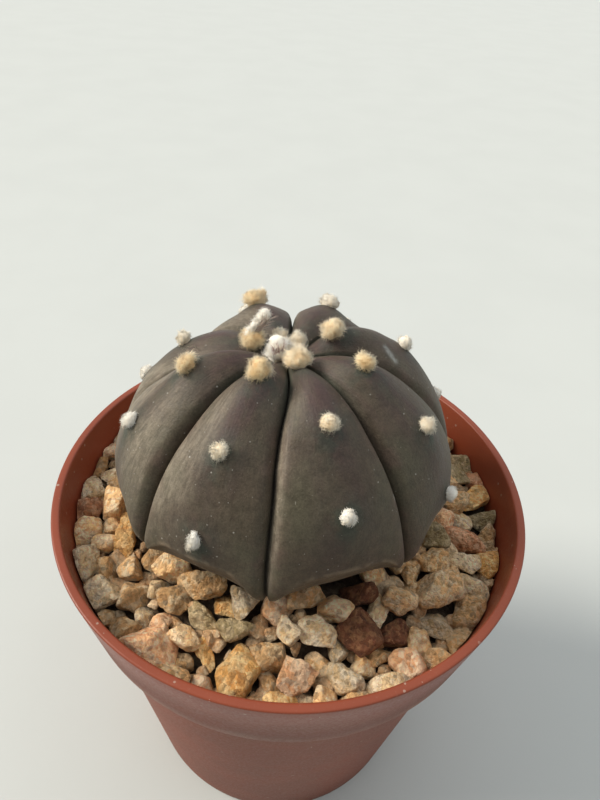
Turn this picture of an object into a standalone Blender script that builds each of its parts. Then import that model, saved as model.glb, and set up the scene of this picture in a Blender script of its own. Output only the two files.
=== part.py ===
"""Potted star cactus: an eight-ribbed, spineless stem in an 8.5 cm plastic pot dressed with granite grit.

Sizes are in metres, apart from the tables, which are in millimetres and degrees. The pot stands on
the XY plane with its axis on Z, and the plant's front faces -Y. Heights of the plant and the grit are
counted from the plane of the pot's rim.
"""

import math
import random

import bmesh
import bpy
from mathutils import Matrix, Vector

MM = 0.001
GAP = 0.35 * MM  # clearance that neighbouring pieces keep
WELD = 0.002 * MM  # points nearer than this are one point

# Pot
RIM_RADIUS = 42.5 * MM
COLLAR_FOOT_RADIUS = 40.1 * MM
BODY_TOP_RADIUS = 38.1 * MM
BASE_RADIUS = 31.1 * MM
POT_HEIGHT = 75.0 * MM
COLLAR_DEPTH = 15.9 * MM
LIP_WIDTH = 1.5 * MM
LIP_ROUND = 0.35 * MM
WALL = 1.3 * MM
HEEL = 0.8 * MM  # small bevels where the wall turns
FOOT_WIDTH = 3.0 * MM
FOOT_HEIGHT = 1.4 * MM
FLOOR_TOP = 3.0 * MM
DRAIN_HOLES = 6
DRAIN_RADIUS = 3.5 * MM
DRAIN_CIRCLE = 19.0 * MM
POT_SIDES = 72

# Plant
PLANT_X = -2.0 * MM
PLANT_Y = -1.0 * MM
RIBS = 8
FIRST_RIB = -112.2  # degrees, the rib that faces the viewer's left
RIB_GIRTH = (1.0, 1.0, 1.02, 1.035, 1.01, 1.0, 1.005, 1.0)
RIB_LIFT = (0.3, 0.2, 0.3, 0.7, 0.0, -0.4, -2.1, 0.3)  # mm that each rib's back stands over the mean
RIDGE_POWER_TOP = 1.45  # 1 gives a rib two flat flanks, and more makes its back rounder
RIDGE_POWER_LOW = 2.6
GROOVE_WIDTH = 0.1  # of half a rib

# Stations down the skin, from the crown to the root's tip: the crest's radius and height, the radius
# and height of the shoulder at the groove, and how deep the groove is cut below that shoulder.
STATIONS = (
    (0.0, 27.8, 0.0, 27.8, 0.0),
    (3.4, 28.5, 3.0, 28.0, 0.3),
    (7.2, 29.9, 6.6, 28.4, 0.7),
    (11.0, 30.3, 10.7, 27.9, 1.0),
    (15.0, 28.8, 14.8, 26.5, 1.1),
    (19.0, 25.8, 18.9, 23.7, 1.1),
    (22.8, 22.2, 22.7, 20.2, 1.1),
    (25.9, 17.9, 25.7, 16.0, 1.1),
    (27.7, 13.2, 27.9, 11.0, 1.0),
    (28.1, 9.2, 29.3, 6.0, 0.9),
    (26.8, 5.9, 27.9, 3.0, 0.6),
    (23.6, 2.2, 24.0, 0.8, 0.2),
    (20.2, -2.5, 20.2, -2.5, 0.0),
    (16.0, -9.5, 16.0, -9.5, 0.0),
    (11.0, -18.0, 11.0, -18.0, 0.0),
    (6.0, -29.0, 6.0, -29.0, 0.0),
    (2.2, -42.0, 2.2, -42.0, 0.0),
    (0.0, -46.0, 0.0, -46.0, 0.0),
)
UNDERSIDE = 10  # the station where the skin has turned under
CREST_STEP = 0.05  # of a station, when a distance is measured along a crest
STEM_ROWS = (0.7, 1.4, 2, 2.6, 3.2, 3.8, 4.4, 5, 5.7, 6.4, 7.1, 7.8, 8.4, 9, 9.5, 10, 11, 12, 13, 14, 15, 16)
RIB_COLUMNS = (-1.0, -0.88, -0.62, -0.32, 0.0, 0.32, 0.62, 0.88)  # across a rib, from groove to crest

# Wool: how far each tuft lies from the plant's centre along its rib's crest, in mm, rib by rib
AREOLES = (
    (10.0, 22.5, 35.0),
    (4.5, 17.5, 30.0),
    (12.5, 25.5, 38.5),
    (8.0, 22.0, 37.0),
    (3.5, 16.5, 29.5),
    (4.5, 18.0, 26.5, 38.0),
    (6.5, 20.0, 33.5),
    (15.5, 28.5),
)
YOUNG_TUFT = 5.0 * MM  # width of a tuft near the crown
OLD_TUFT = 2.8 * MM  # width of one low on a rib
YOUNG_ARC, OLD_ARC = 8.0, 36.0  # distances along the crest where those widths hold
TUFT_STANDING = 0.9  # height of a tuft over its width
TUFT_PROUD = 0.3  # how far its middle stands off the skin, over its height
CROWN_TUFT = (-0.6 * MM, 0.8 * MM, 0.4 * MM)  # its middle, from the crown's
CROWN_TUFT_WIDTH = 7.6 * MM
BUD_RIB, BUD_ARC = 6, 7.0
BUD_LENGTH = 7.0 * MM
BUD_WIDTH = 3.0 * MM
BUD_LEAN = (0.28, 0.55, 1.0)
WOOL_SEED = 11

# Potting mix and grit
HOLE_CLEARANCE = 0.45 * MM
MIX_TOP = -14.6 * MM
BED_BOTTOM = -14.3 * MM
BED_TOP_INNER = -4.8 * MM
BED_TOP_OUTER = -8.8 * MM
BED_SLOPE = (22.0 * MM, 35.0 * MM)  # distances from the pot's axis between which the bed falls
BED_SIDES = 48
STONE_RING = (23.0 * MM, 39.0 * MM)  # least distance from the plant's axis, most from the pot's
STONE_LENGTHS = (6.6, 3.6)  # mm, from the first stone dropped at random to the last
STONE_TRIES = 6000
STONE_CROWDING = 0.345  # how near two stones may lie, over the sum of their lengths
STONE_PROUD = 0.28  # how far a stone's middle lies over the bed, over its thickness
STONE_SEED = 7
# Stones that stand out: azimuth, radius, length, width and the length's own azimuth
LARGE_STONES = (
    (-172, 37.0, 5.5, 5.0, 70),
    (-158, 31.0, 8.0, 3.5, 95),
    (-154, 38.0, 6.5, 6.0, 80),
    (-144, 32.0, 5.0, 4.5, 95),
    (-142, 37.0, 7.0, 5.0, 15),
    (-131, 37.5, 5.0, 4.5, 5),
    (-122, 36.5, 8.5, 7.0, 15),
    (-121, 26.0, 8.0, 4.5, -10),
    (-115, 28.5, 5.0, 4.5, 5),
    (-110, 33.5, 5.5, 2.5, -65),
    (-104, 29.0, 6.0, 4.0, -15),
    (-100, 35.5, 8.5, 6.0, 75),
    (-91, 31.0, 5.5, 5.0, -35),
    (-84, 34.5, 6.0, 5.0, 15),
    (-79, 28.5, 6.5, 4.0, -10),
    (-73, 35.0, 5.5, 5.0, 5),
    (-67, 30.0, 6.5, 6.0, -40),
    (-64, 38.5, 7.5, 5.0, 10),
    (-61, 25.0, 6.0, 4.5, -20),
    (-57, 28.0, 5.5, 3.0, 70),
    (-55, 32.5, 5.0, 4.0, 5),
    (-51, 38.5, 6.0, 4.5, 5),
    (-43, 34.0, 6.5, 3.5, -35),
    (-34, 31.5, 8.5, 6.5, 45),
    (-33, 36.5, 7.0, 4.5, 50),
    (-20, 33.5, 6.5, 4.5, -5),
    (-11, 33.0, 8.0, 4.0, -20),
    (0, 37.5, 5.5, 4.5, 5),
    (7, 37.0, 8.5, 4.0, 35),
    (23, 38.5, 5.5, 5.0, 5),
)


def clear_scene():
    for old in list(bpy.data.objects):
        bpy.data.objects.remove(old, do_unlink=True)


def finish(name, colour, roughness):
    """A Principled material with the piece's plain colour."""
    material = bpy.data.materials.new(name)
    material.use_nodes = True
    shader = material.node_tree.nodes["Principled BSDF"]
    shader.inputs["Base Color"].default_value = (*colour, 1.0)
    shader.inputs["Roughness"].default_value = roughness
    shader.inputs["Metallic"].default_value = 0.0
    return material


def linked(name, mesh):
    made = bpy.data.objects.new(name, mesh)
    bpy.context.scene.collection.objects.link(made)
    return made


def settle(target):
    """Puts the result of the object's modifiers into its own mesh."""
    graph = bpy.context.evaluated_depsgraph_get()
    mesh = bpy.data.meshes.new_from_object(target.evaluated_get(graph))
    target.modifiers.clear()
    target.data = mesh


def smooth(target, degrees):
    target.data.shade_smooth()
    target.data.set_sharp_from_angle(angle=math.radians(degrees))


def turned(name, profile, sides):
    """A solid turned about Z from (radius, height) pairs that run from axis to axis down its outer side."""
    mesh = bpy.data.meshes.new(name)
    points = [(radius, 0.0, height) for radius, height in profile]
    mesh.from_pydata(points, [(i, i + 1) for i in range(len(points) - 1)], [])
    made = linked(name, mesh)
    screw = made.modifiers.new("Turn", "SCREW")
    screw.steps = screw.render_steps = sides
    screw.use_merge_vertices = True
    screw.merge_threshold = 0.00001
    settle(made)
    return made


def combine(target, others, operation):
    """One Boolean of the target with all the others, which are then removed."""
    group = bpy.data.collections.new("helpers")
    bpy.context.scene.collection.children.link(group)
    for other in others:
        group.objects.link(other)
    boolean = target.modifiers.new("Combine", "BOOLEAN")
    boolean.operation = operation
    boolean.operand_type = "COLLECTION"
    boolean.collection = group
    boolean.solver = "EXACT"
    settle(target)
    for other in others:
        bpy.data.objects.remove(other, do_unlink=True)
    bpy.data.collections.remove(group)


def keep_largest_body(target):
    """Drops loose scraps, and fills any hollow that fusing has sealed."""
    shape = bmesh.new()
    shape.from_mesh(target.data)
    bmesh.ops.remove_doubles(shape, verts=shape.verts, dist=WELD)
    bodies = []
    left = set(shape.verts)
    while left:
        body = [left.pop()]
        for vert in body:
            for edge in vert.link_edges:
                other = edge.other_vert(vert)
                if other in left:
                    left.remove(other)
                    body.append(other)
        bodies.append(body)
    bodies.sort(key=len)
    scraps = [vert for body in bodies[:-1] for vert in body]
    bmesh.ops.delete(shape, geom=scraps, context="VERTS")
    bmesh.ops.triangulate(shape, faces=shape.faces)
    shape.to_mesh(target.data)
    shape.free()


def ramp(value, start, end):
    """0 before start, 1 past end, and straight between them."""
    return min(max((value - start) / (end - start), 0.0), 1.0)


def spline(table, station):
    """The table's row at a station, by a Catmull-Rom curve through its rows."""
    first = min(int(station), len(table) - 2)
    share = station - first
    before = table[max(first - 1, 0)]
    after = table[min(first + 2, len(table) - 1)]
    row = []
    for a, b, c, d in zip(before, table[first], table[first + 1], after):
        bend = (2 * a - 5 * b + 4 * c - d) * share**2 + (3 * b - a - 3 * c + d) * share**3
        row.append(b + 0.5 * ((c - a) * share + bend))
    return row


def rib_value(values, azimuth):
    """The value that a table holds for each rib, eased from one crest to the next."""
    place = ((azimuth - FIRST_RIB) / 360 * RIBS) % RIBS
    rib = int(place) % RIBS
    share = place - int(place)
    share = share * share * (3 - 2 * share)
    return values[rib] * (1 - share) + values[(rib + 1) % RIBS] * share


def girth_share(station):
    """How much of a rib's own girth shows at a station: none at the crown and on the root."""
    return ramp(station, 0, 6) * (1 - ramp(station, 10, 12))


def skin(station, azimuth):
    """A point of the stem's skin, from its station down a rib and its azimuth in degrees."""
    crest_r, crest_z, groove_r, groove_z, depth = spline(STATIONS, station)
    across = abs(((azimuth - FIRST_RIB) / 360 * RIBS + 0.5) % 1 * 2 - 1)
    power = RIDGE_POWER_TOP + (RIDGE_POWER_LOW - RIDGE_POWER_TOP) * ramp(station, 2, 9)
    share = across**power
    radius = crest_r + (groove_r - crest_r) * share
    height = crest_z + (groove_z - crest_z) * share
    above = spline(STATIONS, max(station - CREST_STEP, 0))
    below = spline(STATIONS, station + CREST_STEP)
    along = Vector((below[2] - above[2], below[3] - above[3])).normalized()
    cut = depth * math.exp(-(((1 - across) / GROOVE_WIDTH) ** 2))
    radius += along.y * cut
    height -= along.x * cut
    radius *= 1 + (rib_value(RIB_GIRTH, azimuth) - 1) * girth_share(station)
    height += rib_value(RIB_LIFT, azimuth) * ramp(station, 0, 2) * (1 - ramp(station, 5, 9))
    turn = math.radians(azimuth)
    x = PLANT_X + radius * MM * math.cos(turn)
    y = PLANT_Y + radius * MM * math.sin(turn)
    return Vector((x, y, POT_HEIGHT + height * MM))


def crest_point(rib, arc):
    """The point of a rib's crest at a distance in mm from the plant's centre, and the skin's normal."""
    azimuth = FIRST_RIB + rib * 360 / RIBS
    length = 0.0
    station = 0.0
    here = skin(station, azimuth)
    while length < arc * MM:
        station += CREST_STEP
        before, here = here, skin(station, azimuth)
        length += (here - before).length
    along = here - skin(station - CREST_STEP, azimuth)
    turn = math.radians(azimuth)
    sideways = Vector((-math.sin(turn), math.cos(turn), 0.0))
    return here, along.cross(sideways).normalized()


def pad_of_wool(centre, normal, width, height, draw):
    """A small lumpy pad, flattened along the skin's normal."""
    shape = bmesh.new()
    bmesh.ops.create_icosphere(shape, subdivisions=1, radius=0.5)
    for vert in shape.verts:
        vert.co *= draw.uniform(0.96, 1.1)
    upright = normal.to_track_quat("Z", "Y").to_matrix().to_4x4()
    turn = Matrix.Rotation(draw.uniform(0, math.tau), 4, "Z")
    size = Matrix.Diagonal((width, width, height, 1.0))
    shape.transform(Matrix.Translation(centre) @ upright @ turn @ size)
    mesh = bpy.data.meshes.new("wool")
    shape.to_mesh(mesh)
    shape.free()
    return linked("wool", mesh)


def wool():
    """A tuft on every areole, the wool of the crown, and the dried bud that stands beside it."""
    draw = random.Random(WOOL_SEED)
    up = Vector((0.0, 0.0, 1.0))
    pads = []
    for rib, arcs in enumerate(AREOLES):
        for arc in arcs:
            place, normal = crest_point(rib, arc)
            width = YOUNG_TUFT + (OLD_TUFT - YOUNG_TUFT) * ramp(arc, YOUNG_ARC, OLD_ARC)
            height = width * TUFT_STANDING
            pads.append(pad_of_wool(place + normal * height * TUFT_PROUD, normal, width, height, draw))
    middle = skin(0, 0) + Vector(CROWN_TUFT)
    pads.append(pad_of_wool(middle, up, CROWN_TUFT_WIDTH, CROWN_TUFT_WIDTH * TUFT_STANDING, draw))
    foot, _ = crest_point(BUD_RIB, BUD_ARC)
    lean = Vector(BUD_LEAN).normalized()
    pads.append(pad_of_wool(foot + lean * BUD_LENGTH / 2, lean, BUD_WIDTH, BUD_LENGTH, draw))
    return pads


def cactus():
    """The stem as a net of stations and azimuths, closed at the crown and at the root's tip."""
    azimuths = [FIRST_RIB + (rib + 0.5 * side) * 360 / RIBS for rib in range(RIBS) for side in RIB_COLUMNS]
    around = len(azimuths)
    points = [skin(0, 0)]
    points += [skin(row, azimuth) for row in STEM_ROWS for azimuth in azimuths]
    points.append(skin(len(STATIONS) - 1, 0))
    last = 1 + (len(STEM_ROWS) - 1) * around
    faces = []
    for column in range(around):
        beside = (column + 1) % around
        faces.append((0, 1 + column, 1 + beside))
        for here in range(1, last, around):
            under = here + around
            faces.append((here + column, under + column, under + beside, here + beside))
        faces.append((last + column, len(points) - 1, last + beside))
    mesh = bpy.data.meshes.new("cactus")
    mesh.from_pydata(points, [], faces)
    made = linked("cactus", mesh)
    combine(made, wool(), "UNION")
    keep_largest_body(made)
    made.data.materials.clear()
    made.data.materials.append(finish("skin", (0.085, 0.072, 0.058), 0.5))
    smooth(made, 40)


def collar_inner_radius(height):
    """Radius of the collar's inner wall at a height over the base."""
    share = ramp(height, POT_HEIGHT - COLLAR_DEPTH, POT_HEIGHT)
    return COLLAR_FOOT_RADIUS + (RIM_RADIUS - COLLAR_FOOT_RADIUS) * share - LIP_WIDTH


def pot():
    """A thin moulded shell: tapered body, collar, flat lip, foot ring and a floor with drain holes."""
    ledge = POT_HEIGHT - COLLAR_DEPTH
    body_inner = BODY_TOP_RADIUS - WALL
    foot_inner = BASE_RADIUS - FOOT_WIDTH
    profile = [
        (0.0, FLOOR_TOP),
        (BASE_RADIUS - WALL - HEEL, FLOOR_TOP),
        (BASE_RADIUS - WALL, FLOOR_TOP + HEEL),
        (body_inner, ledge + WALL - HEEL),
        (body_inner + HEEL, ledge + WALL),
        (collar_inner_radius(ledge), ledge + WALL + HEEL),
        (RIM_RADIUS - LIP_WIDTH, POT_HEIGHT - LIP_ROUND),
        (RIM_RADIUS - LIP_WIDTH + LIP_ROUND, POT_HEIGHT),
        (RIM_RADIUS - LIP_ROUND, POT_HEIGHT),
        (RIM_RADIUS, POT_HEIGHT - LIP_ROUND),
        (COLLAR_FOOT_RADIUS, ledge + HEEL / 2),
        (COLLAR_FOOT_RADIUS - HEEL / 2, ledge),
        (BODY_TOP_RADIUS, ledge),
        (BASE_RADIUS + HEEL / 4, HEEL),
        (BASE_RADIUS - HEEL / 2, 0.0),
        (foot_inner, 0.0),
        (foot_inner - HEEL / 2, FOOT_HEIGHT),
        (0.0, FOOT_HEIGHT),
    ]
    made = turned("pot", profile, POT_SIDES)
    drills = []
    for hole in range(DRAIN_HOLES):
        turn = math.tau * (hole + 0.5) / DRAIN_HOLES
        bpy.ops.mesh.primitive_cylinder_add(
            vertices=16,
            radius=DRAIN_RADIUS,
            depth=4 * FLOOR_TOP,
            location=(DRAIN_CIRCLE * math.cos(turn), DRAIN_CIRCLE * math.sin(turn), FLOOR_TOP / 2),
        )
        drills.append(bpy.context.object)
    combine(made, drills, "DIFFERENCE")
    made.data.materials.clear()
    made.data.materials.append(finish("pot_plastic", (0.30, 0.075, 0.045), 0.42))
    smooth(made, 30)


def plant_hole():
    """What the stem and its root take out of the mix and the grit, round about the plant's own axis."""
    profile = []
    for station in range(UNDERSIDE, len(STATIONS) - 1):
        widest = 1 + (max(RIB_GIRTH) - 1) * girth_share(station)
        radius = STATIONS[station][2] * widest * MM + HOLE_CLEARANCE
        profile.append((radius, POT_HEIGHT + STATIONS[station][3] * MM - HOLE_CLEARANCE))
    top = POT_HEIGHT + STATIONS[0][1] * MM
    bottom = POT_HEIGHT + STATIONS[-1][1] * MM - HOLE_CLEARANCE
    made = turned("plant_hole", [(0.0, top), (profile[0][0], top), *profile, (0.0, bottom)], BED_SIDES)
    made.location = (PLANT_X, PLANT_Y, 0.0)
    return made


def potting_mix():
    """The mix that fills the pot's body, with the root's hole in it."""
    low_radius = BASE_RADIUS - WALL - GAP
    high_radius = BODY_TOP_RADIUS - WALL - GAP
    top = POT_HEIGHT + MIX_TOP
    profile = [
        (0.0, top),
        (high_radius, top),
        (high_radius, POT_HEIGHT - COLLAR_DEPTH),
        (low_radius, FLOOR_TOP + HEEL + GAP),
        (low_radius - HEEL, FLOOR_TOP + GAP),
        (0.0, FLOOR_TOP + GAP),
    ]
    made = turned("potting_mix", profile, BED_SIDES)
    combine(made, [plant_hole()], "DIFFERENCE")
    made.data.materials.clear()
    made.data.materials.append(finish("potting_mix", (0.035, 0.024, 0.017), 0.95))
    smooth(made, 30)


def bed_top(distance):
    """Height of the bed between the stones, at a distance from the pot's axis: it rises to the plant."""
    share = ramp(distance, *BED_SLOPE)
    return POT_HEIGHT + BED_TOP_INNER + (BED_TOP_OUTER - BED_TOP_INNER) * share


def stone(x, y, length, width, height, turn, draw):
    """An angular stone of twenty faces, kept clear of the pot's wall."""
    shape = bmesh.new()
    bmesh.ops.create_icosphere(shape, subdivisions=1, radius=0.5)
    for vert in shape.verts:
        vert.co *= draw.uniform(0.85, 1.2)
    over = Matrix.Rotation(draw.uniform(0, math.tau), 4, "X")
    round_up = Matrix.Rotation(draw.uniform(0, math.tau), 4, "Z")
    tumbled = over @ round_up
    size = Matrix.Diagonal((length, width, height, 1.0))
    lean = Matrix.Rotation(draw.uniform(-0.25, 0.25), 4, "Y")
    middle = Matrix.Translation((x, y, bed_top(math.hypot(x, y)) + height * STONE_PROUD))
    shape.transform(middle @ Matrix.Rotation(turn, 4, "Z") @ lean @ size @ tumbled)
    for vert in shape.verts:
        reach = collar_inner_radius(vert.co.z) - GAP
        distance = math.hypot(vert.co.x, vert.co.y)
        if distance > reach:
            vert.co.x *= reach / distance
            vert.co.y *= reach / distance
    mesh = bpy.data.meshes.new("stone")
    shape.to_mesh(mesh)
    shape.free()
    return linked("stone", mesh)


def stones():
    """The large stones in their places, then others dropped wherever they find room, ever smaller."""
    draw = random.Random(STONE_SEED)
    placed = []
    made = []

    def lay(x, y, length, width, turn):
        height = width * draw.uniform(0.75, 1.0)
        placed.append((x, y, length))
        made.append(stone(x, y, length, width, height, turn, draw))

    for azimuth, distance, length, width, turn in LARGE_STONES:
        angle = math.radians(azimuth)
        x, y = distance * MM * math.cos(angle), distance * MM * math.sin(angle)
        lay(x, y, length * MM, width * MM, math.radians(turn))
    nearest, furthest = STONE_RING
    for attempt in range(STONE_TRIES):
        angle = draw.uniform(0, math.tau)
        distance = math.sqrt(draw.uniform((nearest / 2) ** 2, furthest**2))
        x, y = distance * math.cos(angle), distance * math.sin(angle)
        share = math.sqrt(attempt / STONE_TRIES)
        length = (STONE_LENGTHS[0] + (STONE_LENGTHS[1] - STONE_LENGTHS[0]) * share) * MM
        clear = all(
            math.hypot(x - other[0], y - other[1]) > STONE_CROWDING * (length + other[2]) for other in placed
        )
        if clear and math.hypot(x - PLANT_X, y - PLANT_Y) > nearest:
            lay(x, y, length, length * draw.uniform(0.65, 0.9), draw.uniform(0, math.pi))
    return made


def grit():
    """The bed of fine grit that fills the collar, with the stones that show fused to it."""
    bottom = POT_HEIGHT + BED_BOTTOM
    chamfer = 2 * HEEL
    profile = [
        (0.0, bed_top(0.0)),
        (BED_SLOPE[0], bed_top(BED_SLOPE[0])),
        (BED_SLOPE[1], bed_top(BED_SLOPE[1])),
        (collar_inner_radius(bed_top(RIM_RADIUS)) - GAP, bed_top(RIM_RADIUS)),
        (collar_inner_radius(bottom + chamfer) - GAP, bottom + chamfer),
        (collar_inner_radius(bottom) - GAP - chamfer, bottom),
        (0.0, bottom),
    ]
    made = turned("grit", profile, BED_SIDES)
    combine(made, stones(), "UNION")
    combine(made, [plant_hole()], "DIFFERENCE")
    keep_largest_body(made)
    made.data.materials.clear()
    made.data.materials.append(finish("granite_grit", (0.42, 0.30, 0.20), 0.85))
    smooth(made, 25)


def main():
    clear_scene()
    pot()
    potting_mix()
    grit()
    cactus()


main()
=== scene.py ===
"""Potted star cactus: the looks of its skin, wool, granite grit and plastic pot, built on the packed frame.

Tables are in millimetres and degrees, and everything handed to Blender is in metres. The pot stands on
the XY plane with its axis on Z, and the plant's front faces -Y. Heights of the plant and the grit are
counted from the plane of the pot's rim.
"""

import functools
import math
import random
from collections import namedtuple

import bpy
import numpy as np
from bpy.props import FloatProperty, FloatVectorProperty, IntProperty, PointerProperty
from mathutils import Matrix, Vector


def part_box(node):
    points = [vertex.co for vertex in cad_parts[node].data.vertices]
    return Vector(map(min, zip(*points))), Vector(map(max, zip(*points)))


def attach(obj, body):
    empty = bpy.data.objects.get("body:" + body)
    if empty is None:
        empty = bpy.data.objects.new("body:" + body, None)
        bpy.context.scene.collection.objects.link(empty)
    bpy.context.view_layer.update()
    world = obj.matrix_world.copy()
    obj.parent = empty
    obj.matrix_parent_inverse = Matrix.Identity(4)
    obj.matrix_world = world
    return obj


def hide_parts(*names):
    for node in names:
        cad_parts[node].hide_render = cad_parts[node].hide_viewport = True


bl_info = {
    "name": "Potted Star Cactus",
    "version": (1, 0, 0),
    "blender": (4, 5, 0),
    "location": "3D View > Sidebar > Star Cactus",
    "description": "Dresses the frame of a potted star cactus with skin, wool, grit and plastic",
    "category": "Add Mesh",
}

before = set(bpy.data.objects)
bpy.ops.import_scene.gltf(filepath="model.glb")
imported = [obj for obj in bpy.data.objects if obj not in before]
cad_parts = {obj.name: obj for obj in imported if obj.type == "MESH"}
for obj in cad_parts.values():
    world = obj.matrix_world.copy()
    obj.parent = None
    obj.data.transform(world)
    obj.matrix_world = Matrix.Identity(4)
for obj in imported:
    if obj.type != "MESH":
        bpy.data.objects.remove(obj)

MM = 0.001
BODY = "root"
UP = np.array((0.0, 0.0, 1.0))

# Pot, read off the frame, and the parts of its shape that the box doesn't tell
POT_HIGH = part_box("pot")[1]
RIM_RADIUS = POT_HIGH[0]
POT_HEIGHT = POT_HIGH[2]
COLLAR_FOOT_RADIUS = RIM_RADIUS - 2.4 * MM
BODY_TOP_RADIUS = RIM_RADIUS - 4.4 * MM
BASE_RADIUS = RIM_RADIUS - 11.4 * MM
COLLAR_DEPTH = 15.9 * MM
LIP_WIDTH = 1.5 * MM
WALL = 1.3 * MM
FOOT_WIDTH = 3.0 * MM
FOOT_HEIGHT = 1.4 * MM
FLOOR_TOP = 3.0 * MM
DRAIN_HOLES = 6
DRAIN_RADIUS = 3.5 * MM
DRAIN_CIRCLE = 19.0 * MM
DRAIN_SIDES = 40
GAP = 0.35 * MM

# Stem
PLANT_X = -2.0 * MM
PLANT_Y = -1.0 * MM
PLANT_MIDDLE = np.array((PLANT_X, PLANT_Y, 0.0))
RIBS = 8
FIRST_RIB = -112.2  # degrees, the rib that faces the viewer's left
RIB_GIRTH = np.array((1.0, 1.0, 1.02, 1.035, 1.01, 1.0, 1.005, 1.0))
RIB_LIFT = np.array((0.3, 0.2, 0.3, 0.7, 0.0, -0.4, -2.1, 0.3))  # mm over the mean
RIDGE_POWER_TOP = 1.45
RIDGE_POWER_LOW = 2.6
GROOVE_WIDTH = 0.1  # of half a rib
CREASE_WIDTH = 0.03  # of half a rib, at the bottom of the groove
SLOPE_STEP = 0.05  # stations, on either side of the one that a slope is measured at

# Stations down the skin, from the crown to the root's tip: the crest's radius and height, the radius
# and height of the shoulder at the groove, how deep the groove is cut below that shoulder, and how many
# degrees the groove in front winds out of its straight line.
STATIONS = np.array(
    (
        (0.0, 27.8, 0.0, 27.8, 0.0, 0.0),
        (3.4, 28.5, 3.0, 28.0, 0.3, 1.5),
        (7.2, 29.9, 6.6, 28.4, 0.7, 4.0),
        (11.0, 30.3, 10.7, 27.9, 1.0, 2.2),
        (15.0, 28.8, 14.8, 26.5, 1.1, -0.4),
        (19.0, 25.8, 18.9, 23.7, 1.1, -1.4),
        (22.8, 22.2, 22.7, 20.2, 1.1, -1.2),
        (25.9, 17.9, 25.7, 16.0, 1.1, -1.4),
        (27.7, 13.2, 27.9, 11.0, 1.0, -1.6),
        (28.1, 9.2, 29.3, 6.0, 0.9, -1.3),
        (26.8, 5.9, 27.9, 3.0, 0.6, -0.8),
        (23.6, 2.2, 24.0, 0.8, 0.2, 0.0),
        (20.2, -2.5, 20.2, -2.5, 0.0, 0.0),
        (16.0, -9.5, 16.0, -9.5, 0.0, 0.0),
        (11.0, -18.0, 11.0, -18.0, 0.0, 0.0),
        (6.0, -29.0, 6.0, -29.0, 0.0, 0.0),
        (2.2, -42.0, 2.2, -42.0, 0.0, 0.0),
        (0.0, -46.0, 0.0, -46.0, 0.0, 0.0),
    )
)
LAST_STATION = len(STATIONS) - 1
WINDING_GROOVE = -89.7  # degrees
WINDING_REACH = 12.0  # degrees beside that groove
SKIN_ROWS = 150  # rings of the stem over the grit
ROOT_ROWS = 12
HALF_RIB_COLUMNS = 26
SEAM_RIB = 4  # the net of the skin starts in the groove before this rib, behind the plant
RIB_SPAN = 22.0  # mm across a rib that the streaks of the skin are counted in

# Areoles rib by rib: how far each lies from the plant's centre along the crest in mm, its age from a
# young golden tuft (0) to an old white one (1), the width of its tuft in mm, and how much longer than
# wide the tuft is.
AREOLES = (
    ((10.0, 0.05, 3.85, 1.0), (22.5, 0.5, 2.6, 1.15), (35.4, 1.0, 2.6, 1.6)),
    ((4.5, 0.25, 4.3, 1.0), (17.5, 0.42, 2.95, 1.05), (30.0, 1.0, 2.6, 1.1)),
    ((12.5, 0.12, 3.3, 1.15), (25.5, 0.6, 2.9, 1.0), (38.5, 1.0, 2.7, 1.1)),
    ((8.0, 0.25, 4.0, 1.0), (22.0, 0.8, 3.1, 1.0), (37.0, 1.0, 2.8, 1.1)),
    ((3.5, 0.6, 3.0, 1.0), (16.5, 0.75, 3.7, 1.0), (29.5, 1.0, 2.8, 1.0)),
    ((4.5, 0.5, 2.6, 1.0), (18.0, 0.15, 4.5, 1.0), (26.5, 0.85, 3.2, 1.0), (38.0, 1.0, 2.8, 1.1)),
    ((6.5, 0.1, 4.4, 1.0), (20.0, 0.6, 3.1, 1.0), (33.5, 1.0, 3.1, 1.0)),
    ((16.1, 0.05, 3.4, 1.0), (28.5, 0.9, 2.8, 1.1)),
)
WIDE_TUFT = 4.5  # mm, width that the number of loose hairs is counted for
TUFT_STANDING = 0.92  # height of a tuft over its width
TUFT_PROUD = 0.32  # how far its middle stands off the skin, over its height
BUD_RIB, BUD_ARC = 6, 7.0
BUD_LIFT = 2.2 * MM
WAX_AND_LIGHT_SIDE = np.array((-0.88, -0.2, 0.42))  # pale wax and a painted highlight, thickest on flanks facing the key light
CREASED_RIB = 7  # a shallow crease crosses this rib's crest below its first tuft
SCAR = np.array(((13.3, 2.5, 28.7), (14.9, 1.4, 27.2)))  # ends of a pale scar, mm from the rim's middle
SCAR_DEPTH = 0.1 * MM
STRAY_HAIR = np.array(((-19.6, 2.9, 24.7), (-18.6, 2.9, 25.5), (-17.4, 2.2, 26.2), (-16.3, 1.0, 26.4)))

# Pieces of the areoles' wool: name, youngest age, oldest age and the seed of its hairs
WOOL_AGES = (("young_wool", 0.0, 0.5, 11), ("pale_wool", 0.5, 0.9, 12), ("old_wool", 0.9, 1.1, 13))
# Lobes of the crown's wool: offset from its middle in mm, radius in mm, and age
CROWN_LOBES = (
    ((-1.5, -0.2, 1.5), 2.2, 0.95),
    ((-0.5, 1.6, 0.6), 1.7, 0.65),
    ((1.3, 1.0, 0.6), 1.9, 0.6),
    ((-2.2, 0.9, 0.4), 1.6, 1.0),
    ((0.4, -0.9, 0.5), 1.8, 0.7),
    ((-2.3, -1.0, 0.2), 1.5, 0.95),
)
CROWN_SEED = 21
# Spent buds: the way one leans, length and width in mm, the side of its dried hairs, and where they start
CROWN_BUD = ((-0.12, 0.1, 1.0), 4.7, 3.1, -1.3, -0.05)
CROWN_BUD_OFFSET = np.array((-1.8, -0.3, 0.8))
RIB_BUD = ((0.66, 0.42, 1.0), 6.0, 2.2, -0.8, 0.15)
DRIED_HAIRS = 46

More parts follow.
